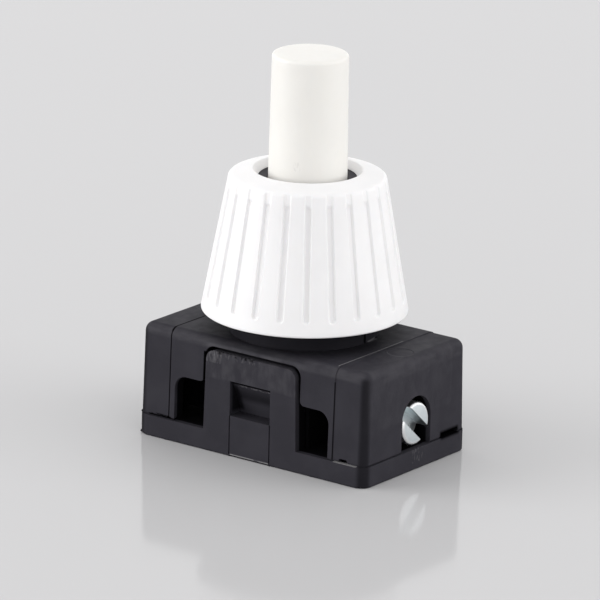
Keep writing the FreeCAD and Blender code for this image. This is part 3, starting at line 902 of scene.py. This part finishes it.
@dataclass
class Housing:
    """The black housing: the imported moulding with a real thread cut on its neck."""

    neck_r: float = 4.95
    bore_r: float = 3.60
    boss_top: float = 12.40
    chamber_top: float = 12.30
    chamfer: float = 0.35
    mouth: float = 0.15
    mouth_share: float = 0.3
    pitch: float = 1.0
    thread_depth: float = 0.5
    columns: int = 96
    line_x: float = -9.27
    line_half: float = 0.08
    line_depth: float = 0.10
    skin_top: float = 10.0
    skin_side: float = 7.45
    skin_foot: float = 2.2
    near: float = 0.02
    cut_reach: float = 1e-7
    on_line: float = 1e-6

    def build(self, finishes: Finishes) -> None:
        """Makes the housing and seats it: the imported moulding, a new neck, and the mould line.

        Args:
            finishes: the material of each finish.
        """
        surface = Surface()
        ids, points, triangles = surface.take_node("housing")
        top = points[:, 2].max()
        radius = np.hypot(points[:, 0], points[:, 1])
        outside = (np.abs(radius - self.neck_r) < self.near) & (points[:, 2] > self.boss_top - self.near)
        bore = (np.abs(radius - self.bore_r) < self.near) & (points[:, 2] > self.chamber_top - self.near)
        neck = outside | bore | (points[:, 2] > top - self.chamfer - self.near)
        surface.faces.append(triangles[~neck[triangles].all(axis=1)])
        foot = outside & (np.abs(points[:, 2] - self.boss_top) < self.near)
        root = bore & (np.abs(points[:, 2] - self.chamber_top) < self.near)
        turn = np.arctan2(points[:, 1], points[:, 0])
        even = np.arange(self.columns) / self.columns * TURN
        rings = surface.add(self.neck_points(even, top))
        surface.grid(rings)
        surface.lace(ids[foot], turn[foot], rings[0], even)
        surface.lace(ids[root], turn[root], rings[-1], even)
        moulding = surface.make("housing_moulding", weigh=True)
        self.cut_line(moulding.data)
        seat(moulding, finishes, Body.SWITCH, Slot.BLACK, "housing")

    def cut_line(self, mesh: bpy.types.Mesh) -> None:
        """Cuts the mould line near the left end into the outer skin.

        Three planes across the length divide the skin, and the middle row sinks along its
        normals, which leaves a V. The walls inside stay flat.

        Args:
            mesh: the housing's mesh.
        """
        shell = bmesh.new()
        shell.from_mesh(mesh)
        for side in (-1, 0, 1):
            plane = Vector(((self.line_x + side * self.line_half) * MM, 0, 0))
            everything = shell.verts[:] + shell.edges[:] + shell.faces[:]
            bmesh.ops.bisect_plane(shell, geom=everything, plane_co=plane, plane_no=(1, 0, 0),
                                   dist=self.cut_reach)
        shell.normal_update()
        for vert in shell.verts:
            on_line = abs(vert.co.x - self.line_x * MM) < self.on_line
            outside = vert.co.z > self.skin_top * MM or abs(vert.co.y) > self.skin_side * MM
            if on_line and outside and vert.co.z > self.skin_foot * MM:
                vert.co -= vert.normal * self.line_depth * MM
        shell.to_mesh(mesh)
        shell.free()
        mesh.set_sharp_from_angle(angle=SMOOTH_ANGLE)

    def neck_points(self, turn: Array, top: float) -> Array:
        """The neck's wall, from its foot over the rim and down its bore.

        Outside, the radius is the crest's less the thread's cut, which fades out over half a
        pitch at both ends. A bevel, a flat rim and a small lead-in follow, then the plain bore.

        Args:
            turn: the columns' angles.
            top: the neck's height.

        Returns:
            Points (rows, columns, 3).
        """
        crest_top = top - self.chamfer
        count = round((crest_top - self.boss_top) / self.pitch * ROWS_PER_PITCH)
        z = np.linspace(self.boss_top, crest_top, count + 2)[1:, None]
        run_out = self.pitch / 2
        fade = ease(self.boss_top, self.boss_top + run_out, z) * (1 - ease(crest_top - run_out, crest_top, z))
        outer = self.neck_r - self.thread_depth * fade * thread_cut(turn[None, :], z, self.pitch)
        rim = np.array([
            (self.neck_r - self.chamfer, top), (self.bore_r + self.mouth * 2, top),
            (self.bore_r + self.mouth, top),
            (self.bore_r + self.mouth * self.mouth_share, top - self.mouth * self.mouth_share),
            (self.bore_r, top - self.mouth), (self.bore_r, (top + self.chamber_top) / 2),
            (self.bore_r, self.chamber_top + self.near),
        ])
        return np.concatenate([polar(outer, turn[None, :], z), polar(rim[:, :1], turn[None, :], rim[:, 1:])])


@dataclass
class ScrewCap:
    """The white fluted cap: a hollow cone round a threaded sleeve."""

    bottom_r: float = 9.405
    shoulder_r: float = 7.12
    crown_rise: float = 0.52
    hole_r: float = 4.95
    lip_r: float = 4.45
    lip_rise: float = 0.12
    ledge_drop: float = 0.72
    bore_r: float = 5.03
    sleeve_r: float = 6.18
    sleeve_lift: float = 0.45
    hollow_r: float = 7.30
    hollow_drop: float = 6.6
    rim_round: float = 0.16
    shoulder_round: float = 0.50
    hole_round: float = 0.15
    pitch: float = 1.0
    thread_depth: float = 0.42
    flutes: int = 24
    first_flute: float = math.radians(-7.65)
    core_half: float = 0.12
    floor_half: float = 0.20
    wall_halves: tuple[float, ...] = (0.245, 0.28, 0.315)
    edge_half: float = 0.36
    land_columns: int = 7
    flute_depth: float = 0.25
    foot_lift: float = 1.22
    head_drop: float = -0.04
    run_out: float = 1.35
    head_step: float = 0.30
    head_share: float = 0.6
    coarse_step: int = 4
    row_gap: float = 0.06
    seam_gap: float = 0.01
    arc_steps: tuple[int, ...] = (7, 8, 5)
    crown_rows: int = 6
    inner_steps: int = 4
    straight_from: float = 1.0
    straight_to: float = 0.3
    band_rows: tuple[int, ...] = (3, 11, 14, 8)
    thread_fade: float = 0.5
    bevel: float = 0.2
    inner_round: float = 0.25

    def __post_init__(self) -> None:
        """Reads the cap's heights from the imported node."""
        low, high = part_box("screw_cap")
        self.bottom_z = low.z / MM
        self.top_z = high.z / MM
        self.shoulder_z = self.top_z - self.crown_rise
        self.ledge_z = self.top_z - self.ledge_drop
        self.flute_foot = self.bottom_z + self.foot_lift
        self.flute_head = self.shoulder_z - self.head_drop

    def build(self, finishes: Finishes) -> None:
        """Makes the cap and seats it: a fine grid outside, and a coarser one inside with the same seams.

        Args:
            finishes: the material of each finish.
        """
        surface = Surface()
        outline = self.outside()
        turn, across = self.columns(outline[:, :1])
        depth = self.flute_cut(outline[:, 1:], across)
        fine = surface.add(polar(outline[:, :1] - depth, turn, outline[:, 1:]))
        surface.grid(fine)
        coarse_turn = turn[-1, ::self.coarse_step]
        inner = surface.add(self.inside(coarse_turn))
        surface.grid(inner)
        surface.thin_out(fine[-1], inner[0])
        surface.thin_out(fine[0], inner[-1])
        seat(surface.make("fluted_cap"), finishes, Body.CAP, Slot.WHITE, "screw_cap")

    def outside(self) -> Array:
        """The half section's visible part, from the rim's underside to the hole's edge.

        Straight sides joined by arcs, with rows set close where the flutes start and end.

        Returns:
            Radius and height of each row (rows, 2).
        """
        under = np.array([self.hollow_r, self.bottom_z])
        rim = np.array([self.bottom_r, self.bottom_z])
        shoulder = np.array([self.shoulder_r, self.shoulder_z])
        hole = np.array([self.hole_r, self.top_z])
        ledge = np.array([self.lip_r, self.ledge_z + self.lip_rise])
        rim_steps, shoulder_steps, hole_steps = self.arc_steps
        rim_arc = corner_arc(under, rim, shoulder, self.rim_round, rim_steps)
        shoulder_arc = corner_arc(rim, shoulder, hole, self.shoulder_round, shoulder_steps)
        hole_arc = corner_arc(shoulder, hole, ledge, self.hole_round, hole_steps)
        foot, head, gap = self.flute_foot, self.flute_head - self.run_out, self.row_gap
        bands = [
            (rim_arc[-1, 1] + self.bevel, foot - 2 * gap), (foot - gap, foot + self.edge_half + gap),
            (foot + self.straight_from, head - self.straight_to), (head, shoulder_arc[0, 1] - self.seam_gap),
        ]
        levels = np.concatenate([np.linspace(*band, rows) for band, rows in zip(bands, self.band_rows)])
        cone = np.stack([np.interp(levels, [rim[1], shoulder[1]], [rim[0], shoulder[0]]), levels], axis=1)
        share = np.linspace(0, 1, self.crown_rows)[1:-1, None]
        crown = shoulder_arc[-1] + (hole_arc[0] - shoulder_arc[-1]) * share
        return np.concatenate([rim_arc, cone, shoulder_arc, crown, hole_arc])

    def columns(self, radius: Array) -> tuple[Array, Array]:
        """Angles of the columns, which keep a fixed distance from the middle of their flute.

        Thirteen columns of each pitch lie at set distances across a flute, so their angle is
        distance / radius, and the rest share what is left up to the next flute.

        Args:
            radius: the rows' radii (rows, 1).

        Returns:
            The angles, and the distances from the flute's middle (rows, columns) each.
        """
        half = np.array([self.core_half, self.floor_half, *self.wall_halves, self.edge_half])
        across = np.concatenate([-half[::-1], [0.0], half])
        pitch = TURN / self.flutes
        share = np.arange(1, self.land_columns + 1) / (self.land_columns + 1)
        near = across[None, :] / radius
        far = half[-1] / radius + share[None, :] * (pitch - 2 * half[-1] / radius)
        one = np.concatenate([near, far], axis=1)
        middle = self.first_flute + pitch * np.arange(self.flutes)
        turn = (middle[None, :, None] + one[:, None, :]).reshape(len(radius), -1)
        reach = np.concatenate([across, np.full(self.land_columns, self.edge_half)])
        return turn, np.broadcast_to(np.tile(reach, self.flutes), turn.shape)

    def flute_cut(self, z: Array, across: Array) -> Array:
        """Depth of the flutes below the cone.

        The distance from the flute's line, or at its foot from the centre of its round end, is
        eased from full depth on the floor to nothing at the edge. Near the head the floor
        climbs out in two steps.

        Args:
            z: the rows' heights (rows, 1).
            across: distances from the flute's middle (rows, columns).

        Returns:
            Depths (rows, columns).
        """
        below = np.maximum(self.flute_foot + self.edge_half - z, 0)
        far = np.hypot(across, below)
        foot = self.flute_head - self.run_out
        first = self.head_share * ease(foot, foot + self.head_step, z)
        last = (1 - self.head_share) * ease(self.flute_head - self.head_step, self.flute_head, z)
        return self.flute_depth * (1 - first - last) * (1 - ease(self.floor_half, self.edge_half, far))

    def inside(self, turn: Array) -> Array:
        """The hidden side: ledge, threaded bore, sleeve, hollow and the rim's inner edge.

        Args:
            turn: the columns' angles.

        Returns:
            Points (rows, columns, 3).
        """
        foot = self.bottom_z + self.sleeve_lift
        roof = self.ledge_z - self.hollow_drop
        count = round((self.ledge_z - foot) / self.pitch * ROWS_PER_PITCH)
        z = np.linspace(self.ledge_z, foot, count + 2)[:, None]
        fade = ease(foot, foot + self.thread_fade, z)
        fade = fade * (1 - ease(self.ledge_z - self.thread_fade, self.ledge_z, z))
        bore = self.bore_r + self.thread_depth * fade * thread_cut(turn[None, :], z, self.pitch)
        start = np.array([(self.lip_r, self.ledge_z + self.lip_rise / 2), (self.lip_r, self.ledge_z)])
        rim = [(self.hollow_r, roof), (self.hollow_r, self.bottom_z), (self.bottom_r, self.bottom_z)]
        lip = corner_arc(*np.array(rim), self.inner_round, self.inner_steps)
        sleeve, hollow, bevel = self.sleeve_r, self.hollow_r, self.bevel
        rest = np.array([(sleeve - bevel, foot), (sleeve, foot + bevel), (sleeve, roof - bevel),
                         (sleeve + bevel, roof), (hollow - bevel, roof), (hollow, roof - bevel)])
        top, low, end = (polar(part[:, :1], turn[None, :], part[:, 1:]) for part in (start, rest, lip))
        return np.concatenate([top, polar(bore, turn[None, :], z), low, end])


@dataclass
class PushButton:
    """The cream button: a slightly tapered stem with a rounded, faintly crowned end."""

    stem_r: float = 3.52
    waist_r: float = 3.58
    tip_r: float = 3.45
    flange_top: float = 12.20
    waist_z: float = 24.45
    edge_round: float = 0.36
    crown: float = 0.05
    bevel: float = 0.3
    columns: int = 128
    arc_steps: int = 8
    crown_rows: int = 8
    side_rows: int = 6
    side_end: float = 0.97
    foot_gap: float = 0.1
    waist_drop: float = 6
    near: float = 0.02

    def build(self, finishes: Finishes) -> None:
        """Makes the button and seats it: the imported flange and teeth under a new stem.

        Args:
            finishes: the material of each finish.
        """
        surface = Surface()
        ids, points, triangles = surface.take_node("push_button")
        top = points[:, 2].max()
        radius = np.hypot(points[:, 0], points[:, 1])
        stem = (np.abs(radius - self.stem_r) < self.near) & (points[:, 2] > self.flange_top - self.near)
        gone = stem | (points[:, 2] > top - self.bevel - self.near)
        surface.faces.append(triangles[~gone[triangles].all(axis=1)])
        foot = stem & (points[:, 2] < self.flange_top + self.near)
        turn = np.arctan2(points[:, 1], points[:, 0])
        even = np.arange(self.columns) / self.columns * TURN
        outline = self.outline(top)
        rings = surface.add(polar(outline[:, :1], even[None, :], outline[:, 1:]))
        surface.grid(rings)
        surface.lace(ids[foot], turn[foot], rings[0], even)
        pole = surface.add(np.array([[0.0, 0.0, top]]))
        surface.fan(rings[-1], int(pole[0]))
        seat(surface.make("button_moulding", weigh=True), finishes, Body.BUTTON, Slot.CREAM, "push_button")

    def outline(self, top: float) -> Array:
        """The stem's half section: straight tapers, an arc, and a crown that rises with 1 - (r/R)^2.

        Args:
            top: height of the crown's middle.

        Returns:
            Radius and height of each row (rows, 2).
        """
        shoulder = np.array([self.tip_r, top - self.crown])
        waist = np.array([self.waist_r, self.waist_z])
        arc = corner_arc(waist, shoulder, np.array([0.0, shoulder[1]]), self.edge_round, self.arc_steps)
        share = np.linspace(1, 0, self.crown_rows)[1:-1]
        face = np.stack([arc[-1, 0] * share, shoulder[1] + self.crown * (1 - share ** 2)], axis=1)
        low = np.array([(self.stem_r, self.flange_top + self.foot_gap),
                        (self.waist_r, self.waist_z - self.waist_drop)])
        side = waist + (arc[0] - waist) * np.linspace(0, self.side_end, self.side_rows)[:, None]
        return np.concatenate([low, side, arc, face])


@dataclass
class TerminalScrew:
    """A slotted, threaded terminal screw that lies along X, its head toward one end."""

    end: End
    head_length: float = 2.0
    shank_r: float = 1.45
    slot_width: float = 1.4
    slot_depth: float = 1.3
    slot_turn: float = math.radians(-41)
    bevel: float = 0.05
    proud: float = 0.035
    head_round: float = 0.26
    round_spans: int = 5
    pitch: float = 0.5
    thread_depth: float = 0.27
    tip_r: float = 0.3
    land_spans: int = 26
    gap_spans: int = 8

    def build(self, finishes: Finishes) -> None:
        """Makes the screw and seats it.

        Args:
            finishes: the material of each finish.
        """
        name = self.end.name.lower()
        low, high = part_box("right_terminal_screw")
        self.face = high.x / MM + self.proud
        self.tip = low.x / MM
        self.head_r = (high.y - low.y) / 2 / MM + self.proud
        self.centre_z = (high.z + low.z) / 2 / MM
        surface = Surface()
        walls = [self.land(surface, side) for side in (0, 1)]
        ring, turn = self.collar(surface, walls)
        self.shank(surface, ring, turn)
        body = Body.RIGHT_SCREW if self.end is End.RIGHT else Body.LEFT_SCREW
        seat(surface.make(name + "_screw_turned"), finishes, body, Slot.ZINC, name + "_terminal_screw")

    def points(self, radius: Array, turn: Array, x: Array) -> Array:
        """Points about the screw's axis, turned with the slot; for the left end, half round the neck.

        Args:
            radius: distances from the screw's axis.
            turn: angles from the slot.
            x: distances along the axis.

        Returns:
            Points (..., 3).
        """
        radius, turn, x = np.broadcast_arrays(radius, turn, x)
        y = radius * np.cos(turn + self.slot_turn)
        z = self.centre_z + radius * np.sin(turn + self.slot_turn)
        side = self.end.value
        return np.stack([x * side, y * side, z], axis=-1)

    def land_turn(self, radius: float, half: float, side: int) -> Array:
        """Angles that a land's rim covers: from asin(half / radius) to its mirror angle."""
        start = math.asin(half / radius)
        return np.linspace(start, math.pi - start, self.land_spans + 1) + side * math.pi

    def land(self, surface: Surface, side: int) -> tuple[Array, Array]:
        """One of the two lands beside the slot: a D-shaped face, a rounded rim and its walls.

        Args:
            surface: takes the faces.
            side: 0 for the land above the slot, 1 for the one below.

        Returns:
            Point numbers and angles of the land's outline at the slot's floor.
        """
        half = self.slot_width / 2
        rows = []
        for bend in np.linspace(0, math.pi / 2, self.round_spans + 1):
            radius = self.head_r - self.head_round * (1 - math.sin(bend))
            turn = self.land_turn(radius, half + self.bevel * (1 - math.sin(bend)), side)
            rows.append(self.points(radius, turn, self.face - self.head_round * (1 - math.cos(bend))))
        rows.append(self.points(self.head_r, turn, self.face - self.slot_depth))
        ids = surface.add(np.stack(rows))
        surface.cover(ids[0])
        surface.grid(ids)
        return ids[-1], turn

    def collar(self, surface: Surface, walls: list[tuple[Array, Array]]) -> tuple[Array, Array]:
        """The slot's floor, and the ring at its level that both lands and both slot mouths share.

        Args:
            surface: takes the faces.
            walls: the lands' outlines at the slot's floor.

        Returns:
            The ring's point numbers and angles.
        """
        (upper, upper_turn), (lower, lower_turn) = walls
        share = np.linspace(0, 1, self.gap_spans + 1)[1:-1]
        left_turn = upper_turn[-1] + share * (lower_turn[0] - upper_turn[-1])
        right_turn = lower_turn[-1] + share * (upper_turn[0] + TURN - lower_turn[-1])
        level = self.face - self.slot_depth
        left = surface.add(self.points(self.head_r, left_turn, level))
        right = surface.add(self.points(self.head_r, right_turn, level))
        surface.cover(np.concatenate([upper[-1:], left, lower[:1], lower[-1:], right, upper[:1]]))
        ring = np.concatenate([upper, left, lower, right])
        return ring, np.concatenate([upper_turn, left_turn, lower_turn, right_turn])

    def shank(self, surface: Surface, ring: Array, turn: Array) -> None:
        """The head's lower wall, its underside and the threaded shank with a bevelled tip.

        Args:
            surface: takes the faces.
            ring: point numbers of the head's ring at the slot's floor.
            turn: its points' angles.
        """
        seat_x = self.face - self.head_length
        under = np.array([(self.head_r, seat_x + self.bevel), (self.head_r - self.bevel, seat_x),
                          (self.shank_r, seat_x)])
        count = round((seat_x - self.tip) / self.pitch * ROWS_PER_PITCH)
        x = np.linspace(seat_x, self.tip, count + 2)[1:-1, None]
        fade = 1 - ease(seat_x - self.pitch, seat_x, x)
        radius = self.shank_r - self.thread_depth * fade * thread_cut(turn[None, :], -x, self.pitch)
        tip = np.array([(self.shank_r - self.thread_depth, self.tip), (self.tip_r, self.tip)])
        rows = [self.points(part[:, :1], turn[None, :], part[:, 1:]) for part in (under, tip)]
        ids = surface.add(np.concatenate([rows[0], self.points(radius, turn[None, :], x), rows[1]]))
        surface.grid(np.concatenate([ring[None, :], ids]))
        surface.cover(ids[-1])


@dataclass
class ReturnSpring:
    """The round-wire coil between the rotor and the button."""

    coil_r: float = 1.75
    wire_r: float = 0.20
    turns: float = 3.5
    travel: float = 3.0
    steps_per_turn: int = 56
    sides: int = 14

    def build(self, finishes: Finishes) -> None:
        """Makes the coil and seats it on what stays still.

        Args:
            finishes: the material of each finish.
        """
        low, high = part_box("return_spring")
        foot, top = low.z / MM, high.z / MM
        surface = Surface()
        rings = surface.add(self.points(foot, top))
        surface.grid(rings)
        surface.cover(rings[0])
        surface.cover(rings[-1])
        coil = surface.make("return_spring_coil")
        seat(coil, finishes, Body.SWITCH, Slot.SPRING, "return_spring")
        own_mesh(coil)

    def points(self, foot: float, top: float) -> Array:
        """A tube round a helix: each ring stands square to the helix's tangent.

        Args:
            foot: lowest height of the wire.
            top: highest height of the wire.

        Returns:
            Points (steps, sides, 3).
        """
        count = round(self.turns * self.steps_per_turn)
        share = np.linspace(0, 1, count + 1)
        turn = share * self.turns * TURN
        rise = top - foot - 2 * self.wire_r
        centre = polar(self.coil_r, turn, foot + self.wire_r + share * rise)
        outward = polar(1.0, turn, 0.0)
        tangent = polar(self.coil_r * self.turns * TURN, turn + math.pi / 2, rise)
        tangent /= np.linalg.norm(tangent, axis=1, keepdims=True)
        across = np.cross(tangent, outward)
        around = np.arange(self.sides) / self.sides * TURN
        ring = np.cos(around)[None, :, None] * outward[:, None, :]
        ring = ring + np.sin(around)[None, :, None] * across[:, None, :]
        return centre[:, None, :] + self.wire_r * ring


@dataclass
class PlainPiece:
    """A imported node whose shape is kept, welded so that its round faces shade smoothly."""

    node: str
    name: str
    body: Body
    slot: Slot

    def build(self, finishes: Finishes) -> None:
        """Makes the welded piece and seats it.

        Args:
            finishes: the material of each finish.
        """
        surface = Surface()
        _, _, triangles = surface.take_node(self.node)
        surface.faces.append(triangles)
        seat(surface.make(self.name, weigh=True), finishes, self.body, self.slot, self.node)


@dataclass
class MouldFlash:
    """Slight moulding flash on the base plate: nubs at its corners and a ragged lip on the arm."""

    ball_rows: int = 8
    ball_columns: int = 12
    corner_r: float = 0.9
    arm_half: float = 5.0
    arm_top: float = 9.55
    front_y: float = -7.95
    lip_stop: float = 1.4
    lip_height: float = 0.10
    lip_depth: float = 0.14
    lip_root: float = 0.08
    lip_bevel: float = 0.03
    skin_gap: float = 0.005
    bend_steps: int = 18
    edge_steps: int = 70
    edge_gap: float = 0.06
    smoothing: tuple[float, ...] = (0.2, 0.6, 0.2)
    contrast: float = 1.8
    cutoff: float = 0.5
    least: float = 0.05
    last_share: float = 0.4
    seed: int = 11

    def nub_places(self) -> Array:
        """Each nub's middle (x, y, z) and half sizes (3): at the corner, the panel and the foot line.

        Returns:
            An array (nubs, 6).
        """
        return np.array([
            (-12.60, -7.40, 0.16, 0.13, 0.20, 0.13),
            (-12.62, -7.34, 2.05, 0.09, 0.16, 0.10),
            (-2.25, -7.88, 0.08, 0.10, 0.06, 0.08),
            (2.25, -7.88, 0.08, 0.09, 0.06, 0.08),
            (-9.6, -7.84, 0.05, 0.16, 0.08, 0.05),
            (6.9, -7.84, 0.05, 0.22, 0.08, 0.05),
        ])

    def build(self, finishes: Finishes) -> None:
        """Makes the nubs and the lip as one piece and seats it.

        Args:
            finishes: the material of each finish.
        """
        surface = Surface()
        rise = np.linspace(-math.pi / 2, math.pi / 2, self.ball_rows)[1:-1, None]
        ball = polar(np.cos(rise), np.arange(self.ball_columns) / self.ball_columns * TURN, np.sin(rise))
        for place in self.nub_places():
            rings = surface.add(place[:3] + ball * place[3:])
            surface.grid(rings)
            surface.cover(rings[0])
            surface.cover(rings[-1])
        strip = surface.add(self.lip_points())
        surface.grid(strip)
        surface.cover(strip[0])
        surface.cover(strip[-1])
        seat(surface.make("mould_flash"), finishes, Body.SWITCH, Slot.BLACK)

    def lip_points(self) -> Array:
        """The lip along the arm's rounded corner and top edge.

        Its line follows the arm's outline; at each step the section is a small wedge whose
        height is a seeded random share of the full one, smoothed over three steps.

        Returns:
            Points (steps, 4, 3).
        """
        draw = np.random.default_rng(self.seed)
        arc = np.linspace(math.pi, math.pi / 2, self.bend_steps)
        centre = np.array([-self.arm_half + self.corner_r, self.arm_top - self.corner_r])
        out_bend = np.stack([np.cos(arc), np.sin(arc)], axis=1)
        bend = centre + self.corner_r * out_bend
        xs = np.linspace(bend[-1, 0] + self.edge_gap, self.lip_stop, self.edge_steps)
        flat = np.stack([xs, np.full_like(xs, self.arm_top)], axis=1)
        line = np.concatenate([bend, flat])
        outward = np.concatenate([out_bend, np.tile([0.0, 1.0], (len(xs), 1))])
        rough = np.convolve(draw.random(len(line)), self.smoothing, mode="same")
        height = self.lip_height * np.clip(rough * self.contrast - self.cutoff, self.least, 1)
        height *= np.linspace(1, self.last_share, len(line))
        inner = line - outward * self.lip_root
        outer = line + outward * height[:, None]
        near = self.front_y + self.skin_gap
        far = self.front_y + self.lip_depth
        sections = [(inner, near), (outer, near + self.lip_bevel), (outer, far), (inner, far)]
        rows = [np.stack([row[:, 0], np.full(len(row), y), row[:, 1]], axis=1) for row, y in sections]
        return np.stack(rows, axis=1)


@dataclass
class Studio:
    """The pale floor, the soft lights and the camera at the photo's angle."""

    azimuth: float = math.radians(36.344)
    elevation: float = math.radians(16.769)
    roll: float = math.radians(1.359)
    distance: float = 567.1
    target: Place = (-0.344, -0.253, 13.351)
    focal_px: float = 6276.4
    frame_px: float = 600.0
    sensor: float = 36.0
    floor_half: float = 4000.0
    sky: Colour = (0.945, 0.943, 0.950, 1)
    sky_low: float = 1.56
    sky_high: float = 0.56
    left_panel: Place = (-520, -430, 240)
    left_power: float = 2.35
    right_panel: Place = (560, 240, 240)
    right_power: float = 1.35
    panel_side: float = 520
    clip: tuple[float, float] = (0.05, 30.0)

    def floor(self) -> None:
        """The floor: one large sheet at z = 0."""
        surface = Surface()
        corners = np.array([(-1, -1, 0), (1, -1, 0), (1, 1, 0), (-1, 1, 0)])
        surface.cover(surface.add(corners * self.floor_half))
        sheet = surface.make("floor_sheet")
        sheet.data.materials.append(StudioFloor().material())

    def lights(self) -> None:
        """A sky that dims evenly with the sine of the height, and two large soft lights."""
        world = bpy.data.worlds.new("studio_sky")
        world.use_nodes = True
        bpy.context.scene.world = world
        tree = world.node_tree
        sky = tree.nodes["Background"]
        sky.inputs["Color"].default_value = self.sky
        parts = tree.nodes.new("ShaderNodeSeparateXYZ")
        tree.links.new(tree.nodes.new("ShaderNodeTexCoord").outputs["Generated"], parts.inputs[0])
        fall = tree.nodes.new("ShaderNodeMapRange")
        fall.inputs["To Min"].default_value = self.sky_low
        fall.inputs["To Max"].default_value = self.sky_high
        tree.links.new(parts.outputs["Z"], fall.inputs["Value"])
        tree.links.new(fall.outputs[0], sky.inputs["Strength"])
        self.panel("left_panel", self.left_panel, self.left_power, True)
        self.panel("right_panel", self.right_panel, self.right_power, False)

    def panel(self, name: str, place: Place, power: float, seen: bool) -> None:
        """A square soft light that looks at the switch.

        Args:
            name: the light's name.
            place: where it hangs, in millimetres.
            power: its power, in watts.
            seen: whether it shows in reflections.
        """
        light = bpy.data.lights.new(name, "AREA")
        light.shape = "SQUARE"
        light.size = self.panel_side * MM
        light.energy = power
        lamp = bpy.data.objects.new(name, light)
        lamp.location = Vector(place) * MM
        lamp.visible_glossy = seen
        aim = Vector(self.target) * MM - lamp.location
        lamp.rotation_euler = aim.to_track_quat("-Z", "Y").to_euler()
        bpy.context.scene.collection.objects.link(lamp)

    def camera(self) -> None:
        """The camera: it looks at the target from the photo's direction, turned by the photo's roll."""
        a, e, r = self.azimuth, self.elevation, self.roll
        back = Vector((math.sin(a) * math.cos(e), -math.cos(a) * math.cos(e), math.sin(e)))
        right = Vector((math.cos(a), math.sin(a), 0.0))
        up = back.cross(right)
        across = math.cos(r) * right + math.sin(r) * up
        upward = math.cos(r) * up - math.sin(r) * right
        data = bpy.data.cameras.new("photo_camera")
        data.sensor_width = self.sensor
        data.lens = self.focal_px * self.sensor / self.frame_px
        data.clip_start, data.clip_end = self.clip
        eye = bpy.data.objects.new("photo_camera", data)
        turned = Matrix((across, upward, back)).transposed().to_4x4()
        eye.matrix_world = Matrix.Translation((Vector(self.target) + back * self.distance) * MM) @ turned
        bpy.context.scene.collection.objects.link(eye)
        bpy.context.scene.camera = eye

    def build(self) -> None:
        """Sets up the whole studio."""
        self.floor()
        self.lights()
        self.camera()
        bpy.context.scene.view_settings.view_transform = "Standard"


def plain_pieces() -> list[PlainPiece]:
    """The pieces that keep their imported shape."""
    pieces = [
        PlainPiece("base_plate", "base_moulding", Body.SWITCH, Slot.BLACK),
        PlainPiece("ratchet_rotor", "rotor_moulding", Body.ROTOR, Slot.NATURAL),
        PlainPiece("contact_bridge", "bridge_stamping", Body.ROTOR, Slot.BRASS),
    ]
    for end in End:
        side = end.name.lower()
        pieces += [
            PlainPiece(side + "_terminal_cage", side + "_cage_stamping", Body.SWITCH, Slot.BRASS),
            PlainPiece(side + "_contact_spring", side + "_leaf_stamping", Body.SWITCH, Slot.BRASS),
            PlainPiece(side + "_contact_rivet", side + "_rivet_headed", Body.SWITCH, Slot.SILVER),
        ]
    return pieces


def main() -> None:
    """Builds the switch piece by piece, then the studio round it."""
    logging.basicConfig(level=logging.INFO, format="%(name)s: %(message)s")
    finishes = mixed_finishes()
    Housing().build(finishes)
    ScrewCap().build(finishes)
    PushButton().build(finishes)
    for end in End:
        TerminalScrew(end).build(finishes)
    ReturnSpring().build(finishes)
    for piece in plain_pieces():
        piece.build(finishes)
    MouldFlash().build(finishes)
    Studio().build()


if __name__ == "__main__":
    main()
